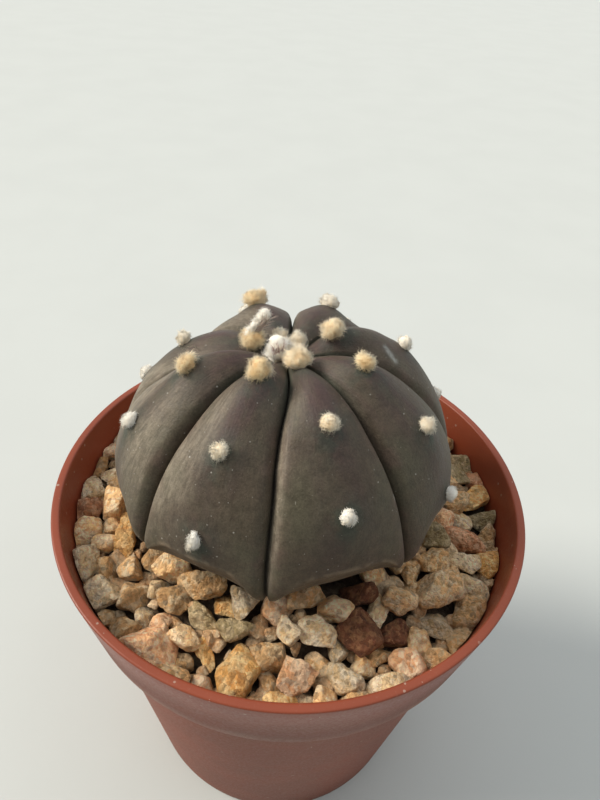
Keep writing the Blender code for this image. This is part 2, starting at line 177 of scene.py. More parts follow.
# Stage
SOFTBOX_FROM = (0.26, 0.36, 0.90)  # the middle of the wide soft light, over the plant and behind it
CAMERA_DOWN, CAMERA_ROLL = 39.6, 4.47  # degrees
CAMERA_PLACE = (0.0003, -0.0772, 0.1575)
FLOOR_RADII = np.array(((1.6,), (8.0,)))
FLOOR_SIDES = 96

# Colours that no setting holds
# Painted shade in the bottom of the grooves
GROOVE_SHADE = (0.01, 0.009, 0.007)
WOOL_STAIN = (0.95, 0.80, 0.60)
# Painted shade in the depth of young and of old wool
YOUNG_WOOL_SHADE = (0.60, 0.42, 0.24)
OLD_WOOL_SHADE = (0.84, 0.78, 0.68)
# Painted shade on the pot's collar
COLLAR_PAINTED_SHADE = (0.72, 0.62, 0.58)
SOIL = (0.03, 0.018, 0.012)

# Grit
BED_BOTTOM = -14.3 * MM
BED_TOP_INNER = -4.8 * MM
BED_TOP_OUTER = -8.8 * MM
BED_SLOPE = (22.0 * MM, 35.0 * MM)
STONE_RING = (23.0 * MM, 39.0 * MM)
STONE_LENGTHS = (6.6, 3.6)
STONE_TRIES = 6000
STONE_CROWDING = 0.345
STONE_PROUD = 0.28
STONE_SEED = 7
Stone = namedtuple("Stone", "x y length width height turn lean tumble chips kind")
SKIN_CLEARANCE = 0.15 * MM
REACH_STEP = 2.5  # degrees between the columns of the stem's table
STONE_GROWTH = 1.1  # the stones' size over their solids'
STONE_ROUGHNESS = ((0.24, 1.9, 3), (0.16, 0.95, 4), (0.1, 0.5, 6))  # height, width in mm, and seed
FACETS, BROAD_FACETS = 12, 4
GRIT_EDGE = 34  # degrees at which two faces of a stone meet in an edge
BED_RINGS, BED_SIDES = 60, 220
SETTLING_ROUNDS = 40
SETTLING_REACH = 1.2 * MM  # how far a stone may move as it settles
# Stones that stand out: azimuth, radius, length, width, the length's own azimuth, and the stone's kind
LARGE_STONES = (
    (-172, 37.0, 5.5, 5.0, 70, "rose"),
    (-158, 31.0, 8.0, 3.5, 95, "gold"),
    (-154, 38.0, 6.5, 6.0, 80, "quartz"),
    (-144, 32.0, 5.0, 4.5, 95, "cream"),
    (-142, 37.0, 7.0, 5.0, 15, "quartz"),
    (-131, 37.5, 5.0, 4.5, 5, "granite"),
    (-122, 36.5, 8.5, 7.0, 15, "blush"),
    (-121, 26.0, 8.0, 4.5, -10, "granite"),
    (-115, 28.5, 5.0, 4.5, 5, "moss"),
    (-110, 33.5, 5.5, 2.5, -65, "gold"),
    (-104, 29.0, 6.0, 4.0, -15, "moss"),
    (-100, 35.5, 8.5, 6.0, 75, "gold"),
    (-91, 31.0, 5.5, 5.0, -35, "granite"),
    (-84, 34.5, 6.0, 5.0, 15, "blush"),
    (-79, 28.5, 6.5, 4.0, -10, "quartz"),
    (-73, 35.0, 5.5, 5.0, 5, "quartz"),
    (-67, 30.0, 6.5, 6.0, -40, "rust"),
    (-64, 38.5, 7.5, 5.0, 10, "quartz"),
    (-61, 25.0, 6.0, 4.5, -20, "rust"),
    (-57, 28.0, 5.5, 3.0, 70, "quartz"),
    (-55, 32.5, 5.0, 4.0, 5, "rust"),
    (-51, 38.5, 6.0, 4.5, 5, "granite"),
    (-43, 34.0, 6.5, 3.5, -35, "quartz"),
    (-34, 31.5, 8.5, 6.5, 45, "cream"),
    (-33, 36.5, 7.0, 4.5, 50, "granite"),
    (-20, 33.5, 6.5, 4.5, -5, "quartz"),
    (-11, 33.0, 8.0, 4.0, -20, "rose"),
    (0, 37.5, 5.5, 4.5, 5, "moss"),
    (7, 37.0, 8.5, 4.0, 35, "gold"),
    (23, 38.5, 5.5, 5.0, 5, "moss"),
)
# Granites: stain, pale, dark, the share that is stained, and the small crystals on a millimetre
GRANITES = {
    "cream": ((0.74, 0.43, 0.19), (0.90, 0.80, 0.60), (0.30, 0.21, 0.12), 0.6, 2.0),
    "granite": ((0.58, 0.33, 0.14), (0.80, 0.68, 0.47), (0.10, 0.075, 0.05), 0.7, 2.2),
    "quartz": ((0.62, 0.44, 0.22), (0.86, 0.80, 0.66), (0.16, 0.14, 0.10), 0.6, 2.4),
    "blush": ((0.70, 0.34, 0.17), (0.95, 0.84, 0.66), (0.34, 0.19, 0.11), 0.7, 1.9),
    "gold": ((0.56, 0.25, 0.07), (0.92, 0.74, 0.42), (0.22, 0.12, 0.05), 0.7, 1.8),
    "moss": ((0.26, 0.21, 0.11), (0.72, 0.62, 0.42), (0.08, 0.07, 0.04), 0.5, 2.4),
    "rose": ((0.46, 0.18, 0.08), (0.82, 0.56, 0.38), (0.18, 0.09, 0.05), 0.6, 2.2),
    "rust": ((0.14, 0.055, 0.03), (0.52, 0.28, 0.14), (0.06, 0.03, 0.02), 0.6, 2.1),
}
# The same of the chips and the bed, with their ground before it
CHIPS_GRANITE = ((0.68, 0.49, 0.30), (0.58, 0.31, 0.13), (0.84, 0.73, 0.54), (0.14, 0.1, 0.06), 0.8, 1.3)
# The bed's colours are dark: fine grit, painted darker as shade in the gaps between the stones
BED_GRANITE_IN_SHADE = ((0.26, 0.17, 0.10), (0.15, 0.08, 0.04), (0.5, 0.4, 0.27), (0.06, 0.04, 0.025), 0.6, 1.6)
# How many of every hundred of the other stones are of a kind
STONE_MIX = dict(cream=24, granite=22, quartz=16, blush=12, gold=10, moss=8, rose=5, rust=3)


# Arrays and noise


HASH_FACTORS = (374761393, 668265263, 1442695041)


def ramp(value, start, end):
    """0 before start, 1 past end, and straight between them."""
    return np.clip((value - start) / (end - start), 0.0, 1.0)


def unit(vectors):
    """The vectors with a length of 1."""
    return vectors / np.maximum(np.linalg.norm(vectors, axis=-1, keepdims=True), 1e-12)


def eased(share):
    """A share from 0 to 1 that starts and ends gently."""
    return share * share * (3 - 2 * share)


def bell(distance):
    """1 in the middle, and fading on both sides with the distance from it."""
    return np.exp(-(distance**2))


def turns(count):
    """Angles of even steps round a circle."""
    return np.linspace(0, math.tau, count, endpoint=False)


def circle(radius, turn, height):
    """Points round the Z axis from radii, angles and heights."""
    return np.stack(np.broadcast_arrays(radius * np.cos(turn), radius * np.sin(turn), height), axis=-1)


def hashed(cells, seed):
    """A repeatable value from 0 to 1 for each whole-number cell: its numbers multiplied by large odd factors,
    summed and folded together."""
    mixed = sum(cells[..., axis] * factor for axis, factor in enumerate(HASH_FACTORS))
    mixed = (mixed + seed * 974634777) & 0xFFFFFFFF
    mixed = ((mixed ^ (mixed >> 13)) * 1274126177) & 0xFFFFFFFF
    return ((mixed ^ (mixed >> 16)) & 0xFFFFFF) / 0xFFFFFF


def lumps(points, size, seed):
    """Smooth noise from -1 to 1: random values on a lattice of that size, eased from corner to corner."""
    place = points / size
    cell = np.floor(place).astype(np.int64)
    share = eased(place - cell)
    total = 0.0
    for corner in np.ndindex(2, 2, 2):
        step = np.array(corner)
        weight = np.prod(np.where(step == 1, share, 1 - share), axis=-1)
        total = total + weight * hashed(cell + step, seed)
    return total * 2 - 1


def swirl(points, size, seed):
    """A smooth field of vectors: three lumps noises side by side."""
    return np.stack([lumps(points, size, seed + axis) for axis in range(3)], axis=-1)


# Meshes


def new_mesh(name, points, *face_sets):
    """A mesh from points and from arrays of faces, each array holding faces of one number of corners."""
    mesh = bpy.data.meshes.new(name)
    mesh.vertices.add(len(points))
    mesh.vertices.foreach_set("co", np.ascontiguousarray(points, np.float32).ravel())
    corners = np.concatenate([faces.ravel() for faces in face_sets]).astype(np.int32)
    sizes = np.concatenate([np.full(len(faces), faces.shape[1]) for faces in face_sets])
    mesh.loops.add(len(corners))
    mesh.loops.foreach_set("vertex_index", corners)
    mesh.polygons.add(len(sizes))
    mesh.polygons.foreach_set("loop_start", (np.cumsum(sizes) - sizes).astype(np.int32))
    mesh.update(calc_edges=True)
    return mesh


def mark(mesh, **values):
    """Stores named values on the points, for the materials."""
    for name, numbers in values.items():
        layer = mesh.attributes.new(name, "FLOAT", "POINT")
        layer.data.foreach_set("value", np.ascontiguousarray(numbers, np.float32).ravel())


def stand(name, data):
    """A new object in the scene."""
    made = bpy.data.objects.new(name, data)
    bpy.context.scene.collection.objects.link(made)
    return made


def piece(name, mesh, material, sharp=None):
    """An object of the visual model: shaded smooth, riding on the pot's body."""
    made = stand(name, mesh)
    mesh.materials.append(material)
    mesh.shade_smooth()
    if sharp is not None:
        mesh.set_sharp_from_angle(angle=math.radians(sharp))
    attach(made, BODY)
    return made


def ring_faces(rows, around, start=0):
    """Quads between neighbouring rings of a grid. Rings run counterclockwise from above, and downwards."""
    row = start + np.arange(rows - 1)[:, None] * around
    here = np.arange(around)[None, :]
    beside = (here + 1) % around
    quads = np.stack([row + here, row + around + here, row + around + beside, row + beside], axis=-1)
    return quads.reshape(-1, 4)


def pole_faces(ring, around, pole, above):
    """Triangles from a ring to a point over it, or under it."""
    here = np.arange(around)
    beside = (here + 1) % around
    tips = np.full(around, pole)
    if above:
        return np.stack([tips, ring + here, ring + beside], axis=-1)
    return np.stack([ring + here, tips, ring + beside], axis=-1)


def closed_grid(top, grid, bottom):
    """Points, quads and triangles of a closed shape: a grid of rings between a top and a bottom point."""
    rows, around = grid.shape[:2]
    points = np.concatenate([[top], grid.reshape(-1, 3), [bottom]])
    last = 1 + (rows - 1) * around
    fans = [pole_faces(1, around, 0, True), pole_faces(last, around, len(points) - 1, False)]
    return points, ring_faces(rows, around, 1), np.concatenate(fans)


def ball(rows, around):
    """Directions of a ball's grid from pole to pole, with its faces: quads, and triangles at the poles."""
    polar = np.linspace(0, math.pi, rows + 2)[1:-1, None]
    return closed_grid(UP, circle(np.sin(polar), turns(around)[None, :], np.cos(polar)), -UP)


def cube_ball(cuts):
    """Directions of a cube's grid blown up to a ball, and its quads. The cube's sides share their edges."""
    steps = np.arange(cuts + 1)
    first, second = np.meshgrid(steps, steps, indexing="ij")
    places = []
    for axis in range(3):
        for end in (0, cuts):
            side = np.empty((cuts + 1, cuts + 1, 3), int)
            side[..., axis] = end
            side[..., (axis + 1) % 3] = first if end else second
            side[..., (axis + 2) % 3] = second if end else first
            places.append(side)
    corners, index = np.unique(np.array(places).reshape(-1, 3), axis=0, return_inverse=True)
    index = index.reshape(6, cuts + 1, cuts + 1)
    quads = np.stack([index[:, :-1, :-1], index[:, 1:, :-1], index[:, 1:, 1:], index[:, :-1, 1:]], axis=-1)
    return unit(np.tan((corners / cuts * 2 - 1) * math.pi / 4)), quads.reshape(-1, 4)


def copies(faces, count, points_each):
    """The faces repeated for a row of like shapes."""
    offsets = np.arange(count)[:, None, None] * points_each
    return (faces[None] + offsets).reshape(-1, faces.shape[1])


# Shader nodes


def feed(tree, node, inputs):
    """The node with each input given its value, or linked to the output that stands for it."""
    for socket, value in inputs.items():
        if isinstance(value, bpy.types.NodeSocket):
            tree.links.new(value, node.inputs[socket])
        else:
            node.inputs[socket].default_value = value
    return node


def add(tree, kind, inputs=None, **settings):
    """A node of a kind with its settings and inputs, set down in rows of twelve."""
    made = tree.nodes.new(kind)
    made.location = (len(tree.nodes) % 12 * 190, -(len(tree.nodes) // 12) * 260)
    for name, value in settings.items():
        setattr(made, name, value)
    return feed(tree, made, inputs or {})


def noise(tree, vector, scale, detail=3.0, roughness=0.55):
    """A noise's value at places in millimetres, with scale in features a millimetre."""
    inputs = {"Vector": vector, "Scale": scale, "Detail": detail, "Roughness": roughness}
    return add(tree, "ShaderNodeTexNoise", inputs).outputs["Fac"]


def cells(tree, vector, scale, output="Color"):
    """One output of a pattern of cells, with scale in cells a millimetre."""
    return add(tree, "ShaderNodeTexVoronoi", {"Vector": vector, "Scale": scale}).outputs[output]


def span(tree, value, low, high, new_low=0.0, new_high=1.0):
    """The value moved from one span to another, and held inside it."""
    inputs = {"Value": value, "From Min": low, "From Max": high, "To Min": new_low, "To Max": new_high}
    return add(tree, "ShaderNodeMapRange", inputs, interpolation_type="SMOOTHSTEP").outputs["Result"]


def calc(tree, operation, first, second):
    """The result of a sum on two values."""
    return add(tree, "ShaderNodeMath", {0: first, 1: second}, operation=operation).outputs[0]


def times(tree, *factors):
    """The product of values."""
    return functools.reduce(functools.partial(calc, tree, "MULTIPLY"), factors)


def plus(tree, *terms):
    """The sum of values."""
    return functools.reduce(functools.partial(calc, tree, "ADD"), terms)


def blend(tree, share, first, second, kind="MIX"):
    """One colour laid over another by a share."""
    inputs = {0: share, 6: colour(first), 7: colour(second)}
    return add(tree, "ShaderNodeMix", inputs, data_type="RGBA", blend_type=kind).outputs[2]


def over(tree, base, tint, *shares):
    """A base under a colour that covers it by the product of the shares."""
    return blend(tree, times(tree, *shares), base, tint)


def tinted(tree, base, tint):
    """A base multiplied by a colour."""
    return blend(tree, 1.0, base, tint, "MULTIPLY")


def colour(value):
    """A colour with its alpha, or a socket as it is."""
    if isinstance(value, bpy.types.NodeSocket):
        return value
    return (*tuple(value)[:3], 1.0)


def stored(tree, name):
    """A value stored on the piece's points."""
    return add(tree, "ShaderNodeAttribute", attribute_name=name).outputs["Fac"]


def millimetres(tree):
    """The piece's Object coordinates, in millimetres."""
    place = add(tree, "ShaderNodeTexCoord").outputs["Object"]
    return add(tree, "ShaderNodeVectorMath", {0: place, "Scale": 1000.0}, operation="SCALE").outputs[0]


def stretched(tree, vector, x, y, z):
    """Places stretched along each axis, so that a pattern read there is drawn out."""
    return add(tree, "ShaderNodeMapping", {"Vector": vector, "Scale": (x, y, z)}).outputs[0]


def wobbled(tree, place, share, pattern):
    """Places pulled about by a noise, so that the cells read there have bent edges."""
    pull = add(tree, "ShaderNodeTexNoise", {"Vector": place, **pattern}).outputs["Color"]
    return add(tree, "ShaderNodeMix", {0: share, 4: place, 5: pull}, data_type="VECTOR").outputs[1]


def bumped(tree, height, strength, distance):
    """The normal of a surface that a height makes rough."""
    inputs = {"Height": height, "Strength": strength, "Distance": distance}
    return add(tree, "ShaderNodeBump", inputs).outputs["Normal"]


def new_material(name, **shader_values):
    """A material, its tree and its Principled shader, whose plain sockets are set."""
    material = bpy.data.materials.new(name)
    material.use_nodes = True
    tree = material.node_tree
    shader = tree.nodes["Principled BSDF"]
    for socket, value in shader_values.items():
        shader.inputs[socket.replace("_", " ")].default_value = value
    return material, tree, shader


def group(name, inputs, outputs):
    """An empty node group, with what it is given and the node that its results go to."""
    tree = bpy.data.node_groups.new(name, "ShaderNodeTree")
    for label, kind, default in inputs:
        socket = tree.interface.new_socket(label, in_out="INPUT", socket_type=f"NodeSocket{kind}")
        if default is not None:
            socket.default_value = default
    for label, kind in outputs:
        tree.interface.new_socket(label, in_out="OUTPUT", socket_type=f"NodeSocket{kind}")
    return tree, tree.nodes.new("NodeGroupInput").outputs, tree.nodes.new("NodeGroupOutput")


def use(tree, name, build, inputs):
    """The outputs of a node that places a group, which is built when it is first wanted."""
    shared = bpy.data.node_groups.get(name) or build(name)
    made = tree.nodes.new("ShaderNodeGroup")
    made.node_tree = shared
    return feed(tree, made, inputs).outputs


def build_mottle(name):
    """Two colours mixed in soft patches."""
    inputs = [
        ("Place", "Vector", None),
        ("Patch", "Float", 0.15),
        ("First", "Color", (0.5, 0.5, 0.5, 1.0)),
        ("Second", "Color", (0.2, 0.2, 0.2, 1.0)),
    ]
    tree, given, out = group(name, inputs, [("Color", "Color")])
    wide = add(tree, "ShaderNodeTexNoise", {"Vector": given["Place"], "Scale": given["Patch"]})
    share = span(tree, wide.outputs["Fac"], 0.36, 0.64)
    feed(tree, out, {"Color": blend(tree, share, given["First"], given["Second"])})
    return tree


def build_flecks(name):
    """Scattered small specks: a mask that is 1 in the middle of a few of the cells of a fine pattern."""
    inputs = [
        ("Place", "Vector", None),
        ("Cells", "Float", 0.8),
        ("Size", "Float", 0.12),
        ("Share", "Float", 0.15),
    ]
    tree, given, out = group(name, inputs, [("Mask", "Float")])
    bent = wobbled(tree, given["Place"], 0.12, {"Scale": 3.0})
    pattern = add(tree, "ShaderNodeTexVoronoi", {"Vector": bent, "Scale": given["Cells"]}).outputs
    chosen, own_size, _ = add(tree, "ShaderNodeSeparateColor", {0: pattern["Color"]}).outputs
    kept = calc(tree, "LESS_THAN", chosen, given["Share"])
    near = calc(tree, "LESS_THAN", pattern["Distance"], times(tree, given["Size"], own_size))
    feed(tree, out, {"Mask": times(tree, kept, near)})
    return tree


def mottled(tree, place, patch, first, second):
    """Two colours in soft patches, with patch in features a millimetre."""
    inputs = {"Place": place, "Patch": patch, "First": colour(first), "Second": colour(second)}
    return use(tree, "mottle", build_mottle, inputs)["Color"]


def flecks(tree, place, cells_each, size, share):
    """A mask of specks: cells on a millimetre, a speck's size in one, and the share of them that hold one."""
    inputs = {"Place": place, "Cells": cells_each, "Size": size, "Share": share}
    return use(tree, "flecks", build_flecks, inputs)["Mask"]


def build_granite(name):
    """Weathered granite: stained and pale patches under crystals of two sizes, with a sugary relief. The
    small crystals are domes cut off by their neighbours, and each has its own brightness."""
    inputs = [
        ("Place", "Vector", None),
        ("Ground", "Color", (0.5, 0.4, 0.3, 1.0)),
        ("Stain", "Color", (0.4, 0.2, 0.1, 1.0)),
        ("Pale", "Color", (0.8, 0.75, 0.65, 1.0)),
        ("Dark", "Color", (0.1, 0.09, 0.08, 1.0)),
        ("Stained", "Float", 0.5),
        ("Crystals", "Float", 2.2),
        ("Tint", "Float", 0.5),
        ("Lit", "Float", 1.0),
    ]
    tree, given, out = group(name, inputs, [("Color", "Color"), ("Height", "Float"), ("Roughness", "Float")])
    place, pale, dark, crystals = (given[label] for label in ("Place", "Pale", "Dark", "Crystals"))
    bent = wobbled(tree, place, 0.4, {"Scale": 1.6, "Detail": 3.0})
    patch = noise(tree, place, 0.42, 5.0, 0.62)
    ground = over(tree, given["Ground"], given["Stain"], span(tree, patch, 0.4, 0.66), given["Stained"])
    vein = noise(tree, stretched(tree, place, 1.0, 0.6, 1.4), 0.6, 5.0, 0.65)
    mixed = over(tree, ground, pale, span(tree, vein, 0.5, 0.64, 0.0, 0.75))
    large = cells(tree, bent, times(tree, crystals, 0.4))
    small = add(tree, "ShaderNodeTexVoronoi", {"Vector": bent, "Scale": crystals}).outputs
    large_pale, large_dark, _ = add(tree, "ShaderNodeSeparateColor", {0: large}).outputs
    small_pale, small_dark, own = add(tree, "ShaderNodeSeparateColor", {0: small["Color"]}).outputs
    mixed = over(tree, mixed, pale, span(tree, large_pale, 0.62, 0.95, 0.0, 0.45))
    mixed = over(tree, mixed, dark, span(tree, large_dark, 0.87, 0.98, 0.0, 0.22))
    mixed = over(tree, mixed, pale, span(tree, small_pale, 0.6, 1.0, 0.0, 0.6))
    mixed = over(tree, mixed, dark, span(tree, small_dark, 0.89, 0.99, 0.0, 0.5))
    grain = noise(tree, place, 4.5, 4.0, 0.7)
    pitted = noise(tree, place, 1.3, 4.0, 0.65)
    # Lit darkens what lies low among the stones: painted shade
    bright = times(
        tree,
        span(tree, given["Tint"], 0.0, 1.0, 0.8, 1.22),
        span(tree, own, 0.0, 1.0, 0.87, 1.13),
        span(tree, pitted, 0.32, 0.6, 0.74, 1.08),
        given["Lit"],
    )
    warm = [times(tree, bright, share) for share in (1.12, 1.02, 0.91)]
    warm = add(tree, "ShaderNodeCombineColor", dict(enumerate(warm))).outputs[0]
    domes = times(tree, small["Distance"], -0.55)
    height = plus(tree, domes, times(tree, grain, 0.75), times(tree, pitted, 1.9))
    roughness = span(tree, own, 0.7, 1.0, 0.85, 0.45)
    feed(tree, out, {"Color": tinted(tree, mixed, warm), "Height": height, "Roughness": roughness})
    return tree


# Stem


def spline_rows(station):
    """The rows of the stations' table at a place between them, by a Catmull-Rom curve through its rows."""
    first = np.clip(station.astype(int), 0, LAST_STATION - 1)
    share = (station - first)[..., None]
    before = STATIONS[np.maximum(first - 1, 0)]
    here = STATIONS[first]
    there = STATIONS[first + 1]
    after = STATIONS[np.minimum(first + 2, LAST_STATION)]
    bend = (2 * before - 5 * here + 4 * there - after) * share**2
    twist = (3 * here - before - 3 * there + after) * share**3
    return here + 0.5 * ((there - before) * share + (bend + twist))


def on_ribs(azimuth):
    """An azimuth counted in ribs from the first one's crest."""
    return (azimuth - FIRST_RIB) / 360 * RIBS


def rib_azimuth(rib):
    """Azimuth of a rib's crest."""
    return FIRST_RIB + rib * 360 / RIBS


def from_rib(azimuth, rib):
    """How many ribs an azimuth lies away from a rib's crest, to either side."""
    return (on_ribs(azimuth) - rib + RIBS / 2) % RIBS - RIBS / 2


def rib_value(values, azimuth):
    """The value that a table holds for each rib, eased from one crest to the next."""
    place = on_ribs(azimuth) % RIBS
    rib = place.astype(int) % RIBS
    share = eased(place - np.floor(place))
    return values[rib] * (1 - share) + values[(rib + 1) % RIBS] * share


def across_rib(azimuth):
    """0 on a rib's crest, and 1 in the grooves beside it."""
    return np.abs((on_ribs(azimuth) + 0.5) % 1 * 2 - 1)


def skin(station, azimuth, crease=0.0):
    """The stem's skin. The crest's line and the groove's shoulder are mixed by a power of the place across
    the rib, and the groove is cut along the shoulder's inward normal in the shape of a bell curve. A crease
    adds a narrower bell to the bottom of it. The groove in front winds: its surroundings turn about the axis,
    less and less away from it."""
    row = spline_rows(station)
    across = across_rib(azimuth)
    share = across ** (RIDGE_POWER_TOP + (RIDGE_POWER_LOW - RIDGE_POWER_TOP) * ramp(station, 2, 9))
    radius = row[..., 0] + (row[..., 2] - row[..., 0]) * share
    height = row[..., 1] + (row[..., 3] - row[..., 1]) * share
    beyond, short = spline_rows(station + SLOPE_STEP), spline_rows(np.maximum(station - SLOPE_STEP, 0))
    along = unit((beyond - short)[..., 2:4])
    cut = row[..., 4] * bell((1 - across) / GROOVE_WIDTH)
    cut = cut + crease * ramp(row[..., 4], 0, 0.6) * bell((1 - across) / CREASE_WIDTH)
    radius = radius + along[..., 1] * cut
    height = height - along[..., 0] * cut
    girth = ramp(station, 0, 6) * (1 - ramp(station, 10, 12))
    radius = radius * (1 + (rib_value(RIB_GIRTH, azimuth) - 1) * girth)
    height = height + rib_value(RIB_LIFT, azimuth) * ramp(station, 0, 2) * (1 - ramp(station, 5, 9))
    beside = ((azimuth - WINDING_GROOVE + 180) % 360 - 180) / WINDING_REACH
    turn = np.radians(azimuth + row[..., 5] * bell(beside))
    return PLANT_MIDDLE + circle(radius * MM, turn, POT_HEIGHT + height * MM)


def crest_line(rib):
    """Fine steps down a rib's crest: the stations, the points, and the distance in mm from the centre."""
    station = np.arange(0, 11.001, 0.02)
    points = skin(station, np.full(len(station), rib_azimuth(rib)))
    steps = np.linalg.norm(np.diff(points, axis=0), axis=1)
    return station, points, np.concatenate([[0.0], np.cumsum(steps)]) / MM


def crest_frame(rib, arc):
    """The point of a rib's crest at a distance from the centre, with the directions out of the skin, down the
    rib and sideways."""
    _, points, lengths = crest_line(rib)
    ends = (arc, arc + 0.3)
    place, further = np.stack([np.interp(ends, lengths, points[:, axis]) for axis in range(3)], axis=-1)
    along = unit(further - place)
    turn = math.radians(rib_azimuth(rib))
    sideways = np.array((-math.sin(turn), math.cos(turn), 0.0))
    return place, np.cross(along, sideways), along, sideways


def grid_normals(grid):
    """Outward normals of a grid of rings, from the differences between neighbours."""
    down = np.gradient(grid, axis=0)
    round_about = np.roll(grid, -1, axis=1) - np.roll(grid, 1, axis=1)
    return unit(np.cross(down, round_about))


def stem_grid():
    """Stations and azimuths of the skin's net, with columns drawn together towards the grooves."""
    half = np.arange(HALF_RIB_COLUMNS) / HALF_RIB_COLUMNS
    half = 1 - (1 - half) ** 1.6
    across = np.concatenate([-1 + 0 * half[:1], -half[:0:-1], half])
    ribs = SEAM_RIB + np.arange(RIBS)
    azimuth = rib_azimuth(ribs[:, None] + 0.5 * across[None, :]).ravel()
    skin_rows = np.linspace(0.03, 11.5, SKIN_ROWS)
    root_rows = np.linspace(11.9, LAST_STATION - 0.25, ROOT_ROWS)
    return np.meshgrid(np.concatenate([skin_rows, root_rows]), azimuth, indexing="ij")


def stem_arcs(rows):
    """How far down a rib each row lies, in mm, measured along the mean of the crests."""
    station, _, lengths = crest_line(0)
    return np.interp(rows, station, lengths)


def areole_field(arc, azimuth):
    """How near each place is to an areole: 1 at it, fading over a few mm, further below it than above."""
    field = np.zeros(arc.shape)
    width = RIB_SPAN * np.clip(arc / 30.0, 0.12, 1.0)
    for rib, spots in enumerate(AREOLES):
        beside = from_rib(azimuth, rib) * width / 2.9
        for spot, *_ in spots:
            below = (arc - spot) / np.where(arc > spot, 4.6, 2.4)
            field = np.maximum(field, np.exp(-(below**2) - beside**2))
    return field


def lower_edge(grid, across):
    """The station where a rib's flank ends in a crease: it drops to the grooves, and wanders a little."""
    return 8.62 + 1.2 * ramp(across, 0.5, 1.0) ** 1.6 + 0.09 * lumps(grid, 6 * MM, 8)


def near_line(grid, ends):
    """Distance in mm of each point from a straight line between two ends, given from the rim's plane."""
    start = ends[0] * MM + POT_HEIGHT * UP
    along = (ends[1] - ends[0]) * MM
    share = np.clip(((grid - start) @ along) / (along @ along), 0, 1)
    return np.linalg.norm(grid - start - share[..., None] * along, axis=-1) / MM


def crest_crease(arc, azimuth):
    """A shallow crease that starts under a tuft and crosses its rib's crest slantwise."""
    line = 0.06 - 0.19 * (arc - 16.3) / 7.2
    ends = ramp(arc, 16.5, 18) * (1 - ramp(arc, 22, 25.5))
    return bell((from_rib(azimuth, CREASED_RIB) - line) / 0.022) * ends


def build_stem(look):
    """The stem in one net: the skin with its swellings, its lower edge, creases and scar, and the root."""
    station, azimuth = stem_grid()
    grid = skin(station, azimuth, look.crease_depth / MM)
    arc = stem_arcs(station[:, 0])[:, None] + 0 * azimuth
    across = across_rib(azimuth)
    areole = areole_field(arc, azimuth)
    normals = grid_normals(grid)
    over_grit = ramp(station, 0.3, 2.0) * (1 - ramp(station, 11.0, 12.0))
    flank = 1 - ramp(across, 0.8, 1.0)
    uneven = lumps(grid, 9 * MM, 3) + 0.45 * lumps(grid, 4 * MM, 5)
    relief = look.unevenness * over_grit * uneven * flank
    relief = relief + look.areole_swelling * areole * over_grit * (1 - ramp(across, 0.3, 0.9))
    edge_station = lower_edge(grid, across)
    edge = bell((station - edge_station) / 0.1) * (1 - ramp(across, 0.85, 0.99))
    below = ramp(station, edge_station, edge_station + 0.45) * (1 - ramp(station, 10.4, 11.4))
    relief = relief + look.edge_bead * edge - look.under_cut * below * flank
    relief = relief - look.crest_crease * crest_crease(arc, azimuth)
    scar = bell(near_line(grid, SCAR) / 0.5)
    grid = grid + normals * (relief - SCAR_DEPTH * scar)[..., None]
    wander = station + 0.1 * lumps(grid, 1.5 * MM, 9)
    underside = ramp(wander, edge_station - 0.05, edge_station + 0.3)
    top, bottom = skin(np.array([0.0, float(LAST_STATION)]), np.zeros(2))
    mesh = new_mesh("stem", *closed_grid(top, grid, bottom))

    def capped(values, first, last):
        return np.concatenate([[first], values.ravel(), [last]])

    mark(
        mesh,
        areole=capped(areole, 1.0, 0.0),
        across=capped(across, 1.0, 0.0),
        arc=capped(arc, 0.0, float(arc.max())),
        cork=capped(underside, 0.0, 1.0),
        edge=capped(edge, 0.0, 0.0),
        scar=capped(scar, 0.0, 0.0),
        # How far each point faces the key light: the pale wax, partly a painted highlight, is laid thickest
        # there
        waxy=capped(normals @ WAX_AND_LIGHT_SIDE, 0.4, 0.0),
    )
    turned = (azimuth - azimuth[0, 0]) / 360 * RIBS * RIB_SPAN
    flow(mesh, capped(turned, 0.0, 0.0), capped(arc, 0.0, 60.0))
    return mesh


def flow(mesh, across, along):
    """A UV map in millimetres across and along the ribs. On the seam's faces the low side takes a full turn
    more."""
    corner = np.empty(len(mesh.loops), np.int32)
    mesh.loops.foreach_get("vertex_index", corner)
    start = np.empty(len(mesh.polygons), np.int32)
    mesh.polygons.foreach_get("loop_start", start)
    face = np.repeat(np.arange(len(start)), np.diff(np.append(start, len(corner))))
    u = across[corner]
    turn = RIBS * RIB_SPAN
    widest = np.maximum.reduceat(u, start)[face]
    u = np.where(widest - u > turn / 2, u + turn, u)
    layer = mesh.uv_layers.new(name="flow")
    layer.data.foreach_set("uv", np.stack([u, along[corner]], axis=-1).astype(np.float32).ravel())


